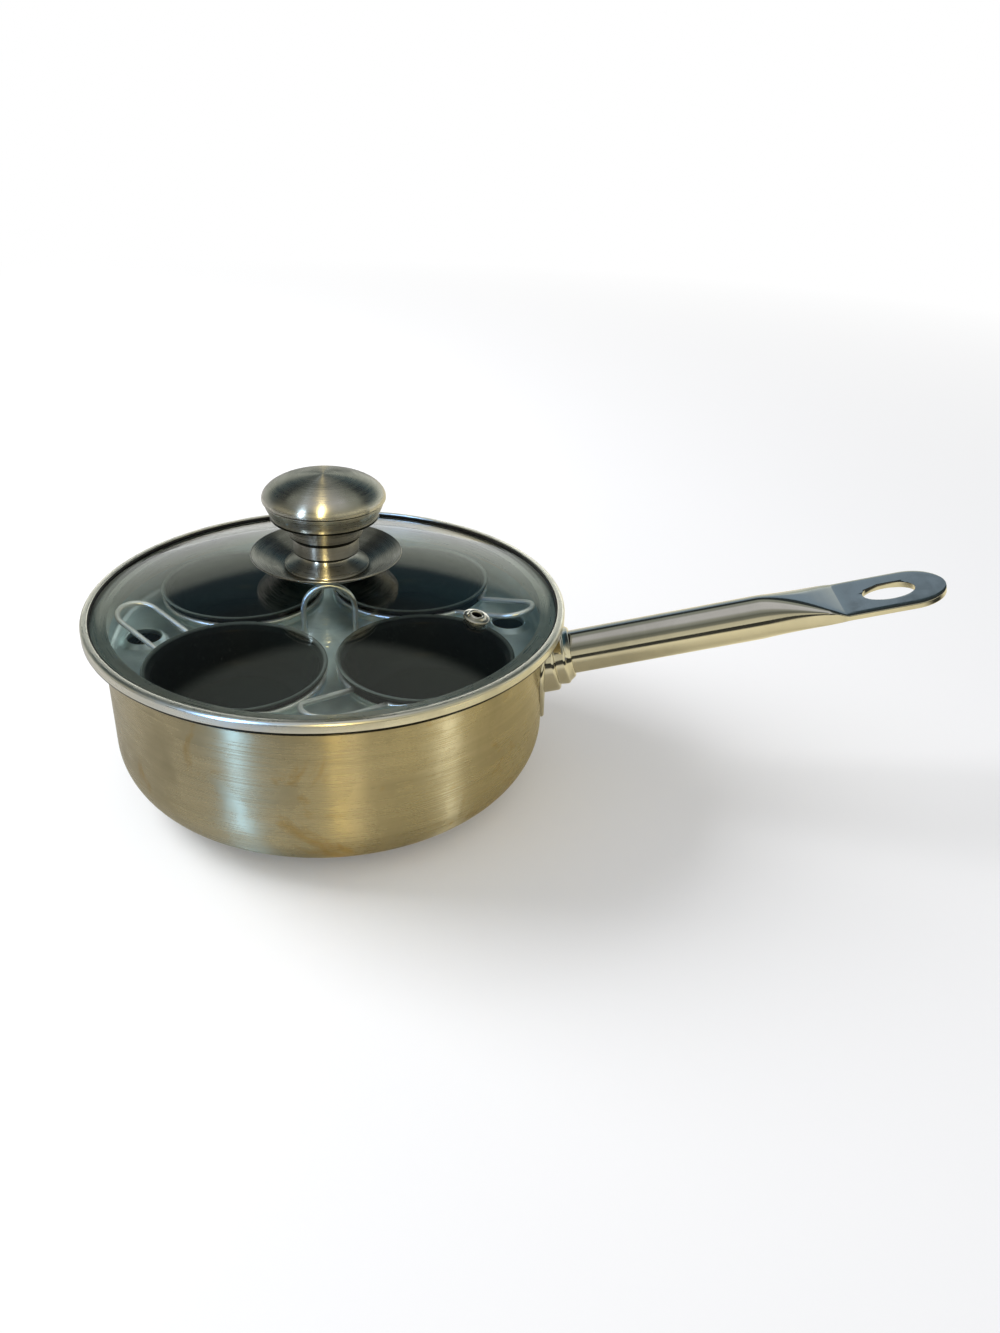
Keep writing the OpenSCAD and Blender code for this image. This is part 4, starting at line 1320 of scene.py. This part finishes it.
# %% Room helpers
def bands(tree, value, stops):
    """Greys and tints along a value, given as (place, colour)."""
    ramp = tree.nodes.new("ShaderNodeValToRGB")
    plug(tree, value, ramp.inputs[0])
    points = ramp.color_ramp.elements
    while len(points) < len(stops):
        points.new(0.5)
    for point, (spot, colour) in zip(points, stops):
        point.position = spot
        point.color = (*colour, 1.0)
    return ramp.outputs[0]


def background(tree, colour):
    """A sky of one colour, or of the colour that other nodes give."""
    node = tree.nodes.new("ShaderNodeBackground")
    plug(tree, colour, node.inputs["Color"])
    return node.outputs[0]


def choose(tree, factor, no, yes):
    """One shader where the factor is 0 and another where it is 1."""
    node = tree.nodes.new("ShaderNodeMixShader")
    for socket, value in zip(node.inputs, (factor, no, yes)):
        plug(tree, value, socket)
    return node.outputs[0]


print("room helpers ready")

# %% [markdown]
# The front and the rear ramp are blended by how far a direction points away from the viewer, and
# both darken to one side. The camera itself sees plain white, and an even grey lights matt
# surfaces, so a colour renders about as it is written.

# %% Room light
world = bpy.data.worlds.new("Studio")
bpy.context.scene.world = world
world.use_nodes = True
tree = world.node_tree
tree.nodes.clear()
way = split_xyz(tree, tree.nodes.new("ShaderNodeTexCoord").outputs["Generated"])
SKY = (0.85, 0.85, 0.88)
front = bands(tree, way["Z"], [
    (0.0, (0.04, 0.04, 0.03)), (0.07, (0.04, 0.04, 0.03)), (0.09, (0.95, 0.90, 0.66)),
    (0.42, (0.86, 0.80, 0.58)), (0.52, (0.30, 0.30, 0.24)), (0.70, (0.20, 0.21, 0.17)),
    (0.88, (0.50, 0.51, 0.46)), (0.95, SKY), (1.0, SKY)])
rear = bands(tree, way["Z"], [
    (0.0, (1.0, 1.0, 1.0)), (0.12, (0.90, 0.94, 0.86)), (0.28, (0.60, 0.64, 0.56)),
    (0.35, (0.43, 0.47, 0.42)), (0.39, (0.06, 0.10, 0.12)), (0.475, (0.04, 0.09, 0.11)),
    (0.50, (0.03, 0.07, 0.09)), (0.55, (0.03, 0.06, 0.08)), (0.58, (0.03, 0.04, 0.05)),
    (0.74, (0.03, 0.04, 0.04)), (0.775, (0.38, 0.41, 0.36)), (0.90, (0.42, 0.44, 0.40)),
    (0.95, SKY), (1.0, SKY)])
room = mix_colour(tree, remap(tree, way["Y"], -0.05, 0.25), front, rear)
sides = remap(tree, way["X"], -0.9, 0.9, 0.45, 1.0)
room = mix_colour(tree, sides, (0.05, 0.05, 0.045), room)
rays = tree.nodes.new("ShaderNodeLightPath").outputs
even = background(tree, (0.58, 0.58, 0.58, 1.0))
sky = choose(tree, rays["Is Diffuse Ray"], background(tree, room), even)
sky = choose(tree, rays["Is Camera Ray"], sky, background(tree, (1.0, 1.0, 1.0, 1.0)))
out = tree.nodes.new("ShaderNodeOutputWorld")
tree.links.new(sky, out.inputs["Surface"])
print("room light set")


# %% [markdown]
# A large soft lamp at the left makes the shadow, and is the only one that lights matt surfaces.
# The rest are only there to be mirrored, as a photographer's strips and boards are: slim strips
# give the brushed wall and the knob their streaks, and wide ones stand in for the bright sky
# over the wires, the tray, the handle and the band.

# %% Lamps
AIM = Vector((0, 0, 0.05))


def soft_lamp(name, bearing, distance, height, width, tall, power, colour=(1.0, 1.0, 1.0)):
    """A rectangular lamp at a bearing from the pan, aimed at a point above the pan's middle."""
    light = bpy.data.lights.new(name, "AREA")
    light.shape = "RECTANGLE"
    light.size, light.size_y = width, tall
    light.energy = power
    light.color = colour
    lamp = add_object(name, light)
    turn = math.radians(bearing)
    lamp.location = (distance * math.cos(turn), distance * math.sin(turn), height)
    lamp.rotation_euler = (AIM - lamp.location).to_track_quat("-Z", "Y").to_euler()
    return lamp


lamps = [
    soft_lamp("key", 165, 1.2, 0.95, 0.9, 0.9, 24.0),
    soft_lamp("left_strip", -126, 1.3, 0.55, 0.09, 1.0, 26.0, (0.26, 0.52, 1.0)),
    soft_lamp("front_strip", -80, 1.4, 0.55, 0.035, 0.9, 5.5, (1.0, 0.78, 0.30)),
    soft_lamp("second_strip", -72, 1.4, 0.55, 0.01, 0.9, 3.5, (1.0, 0.88, 0.65)),
    soft_lamp("right_strip", -26, 1.3, 0.55, 0.16, 1.0, 11.5, (0.92, 0.97, 1.0)),
    soft_lamp("knob_strip", -88, 0.9, 0.95, 0.06, 1.5, 12.0, (1.0, 0.80, 0.36)),
    soft_lamp("knob_left", -124, 1.3, 0.60, 0.06, 0.9, 8.0, (0.62, 0.80, 1.0)),
    soft_lamp("wire_sky", -90, 0.3, 1.2, 1.6, 1.6, 60.0, (1.0, 1.0, 0.95)),
    soft_lamp("tray_sky", 76, 1.3, 0.75, 0.7, 0.5, 9.0, (0.95, 1.0, 0.95)),
    soft_lamp("handle_sky", 88, 1.6, 0.85, 3.0, 0.42, 1.2, (0.62, 0.76, 1.0)),
    soft_lamp("rear_sky", 90, 1.5, 0.60, 2.4, 0.30, 4.0, (1.0, 1.0, 0.96)),
]
lamps[0].visible_glossy = False
lamps[0].visible_transmission = False
for lamp in lamps[1:]:
    lamp.visible_diffuse = False


print("lamps:", [lamp.name for lamp in lamps])

# %% [markdown]
# A strip that gives the wall its streak would put one on the cups and the glass too. So each is
# linked to the pieces that show it in the photograph, as a studio shades a lamp with flags.

# %% What each lamp lights
def shine_only_on(lamp, pieces):
    """Links a lamp to the pieces that it may light."""
    chosen = bpy.data.collections.new(lamp.name + "_pieces")
    for piece in pieces:
        chosen.objects.link(piece)
    lamp.light_linking.receiver_collection = chosen


brushed = [pan_wall, base_dish]
knob = [knob_crown, knob_belly, knob_neck, knob_base]
wires = [tray_arch] + cup_rings
lit_by = {
    "left_strip": brushed + wires + [lid_rim],
    "front_strip": brushed + wires + [lid_rim] + cup_dishes,
    "second_strip": brushed,
    "right_strip": brushed,
    "knob_strip": knob + [knob_saucer],
    "knob_left": knob,
    "wire_sky": wires,
    "tray_sky": [tray_sheet],
    "handle_sky": [handle_shell, handle_collar],
    "rear_sky": [lid_rim, vent_rivet],
}
for lamp in lamps[1:]:
    shine_only_on(lamp, lit_by[lamp.name])
print("lamps linked to their pieces:", len(lit_by))

# %% [markdown]
# ## Camera
# The camera stands in front of the pan and looks down on it, a little rolled, as the photograph
# was taken. Its place was found from the outlines of the lid, the knob and the pan's foot.

# %% Camera
EYE = Vector((73.57, -418.2, 286.8)) * MM
PITCH = math.radians(29.55)
ROLL = math.radians(-2.22)
FOCAL_PX = 1100
FRAME_PX = 1333
SENSOR = 36.0
forward = Vector((0, math.cos(PITCH), -math.sin(PITCH)))
level = Vector((1, 0, 0))
upright = level.cross(forward)
right = math.cos(ROLL) * level - math.sin(ROLL) * upright
above = math.sin(ROLL) * level + math.cos(ROLL) * upright
view = bpy.data.cameras.new("camera")
view.sensor_fit = "VERTICAL"
view.sensor_height = SENSOR
view.lens = SENSOR * FOCAL_PX / FRAME_PX
view.clip_start = 0.01
camera = add_object("camera", view)
axes = Matrix((right, above, -forward)).transposed().to_4x4()
camera.matrix_world = Matrix.Translation(EYE) @ axes
bpy.context.scene.camera = camera
bpy.context.scene.view_settings.view_transform = "Standard"
print("lens %.2f mm" % view.lens)

# %% [markdown]

# %% Finish
print("scene built")
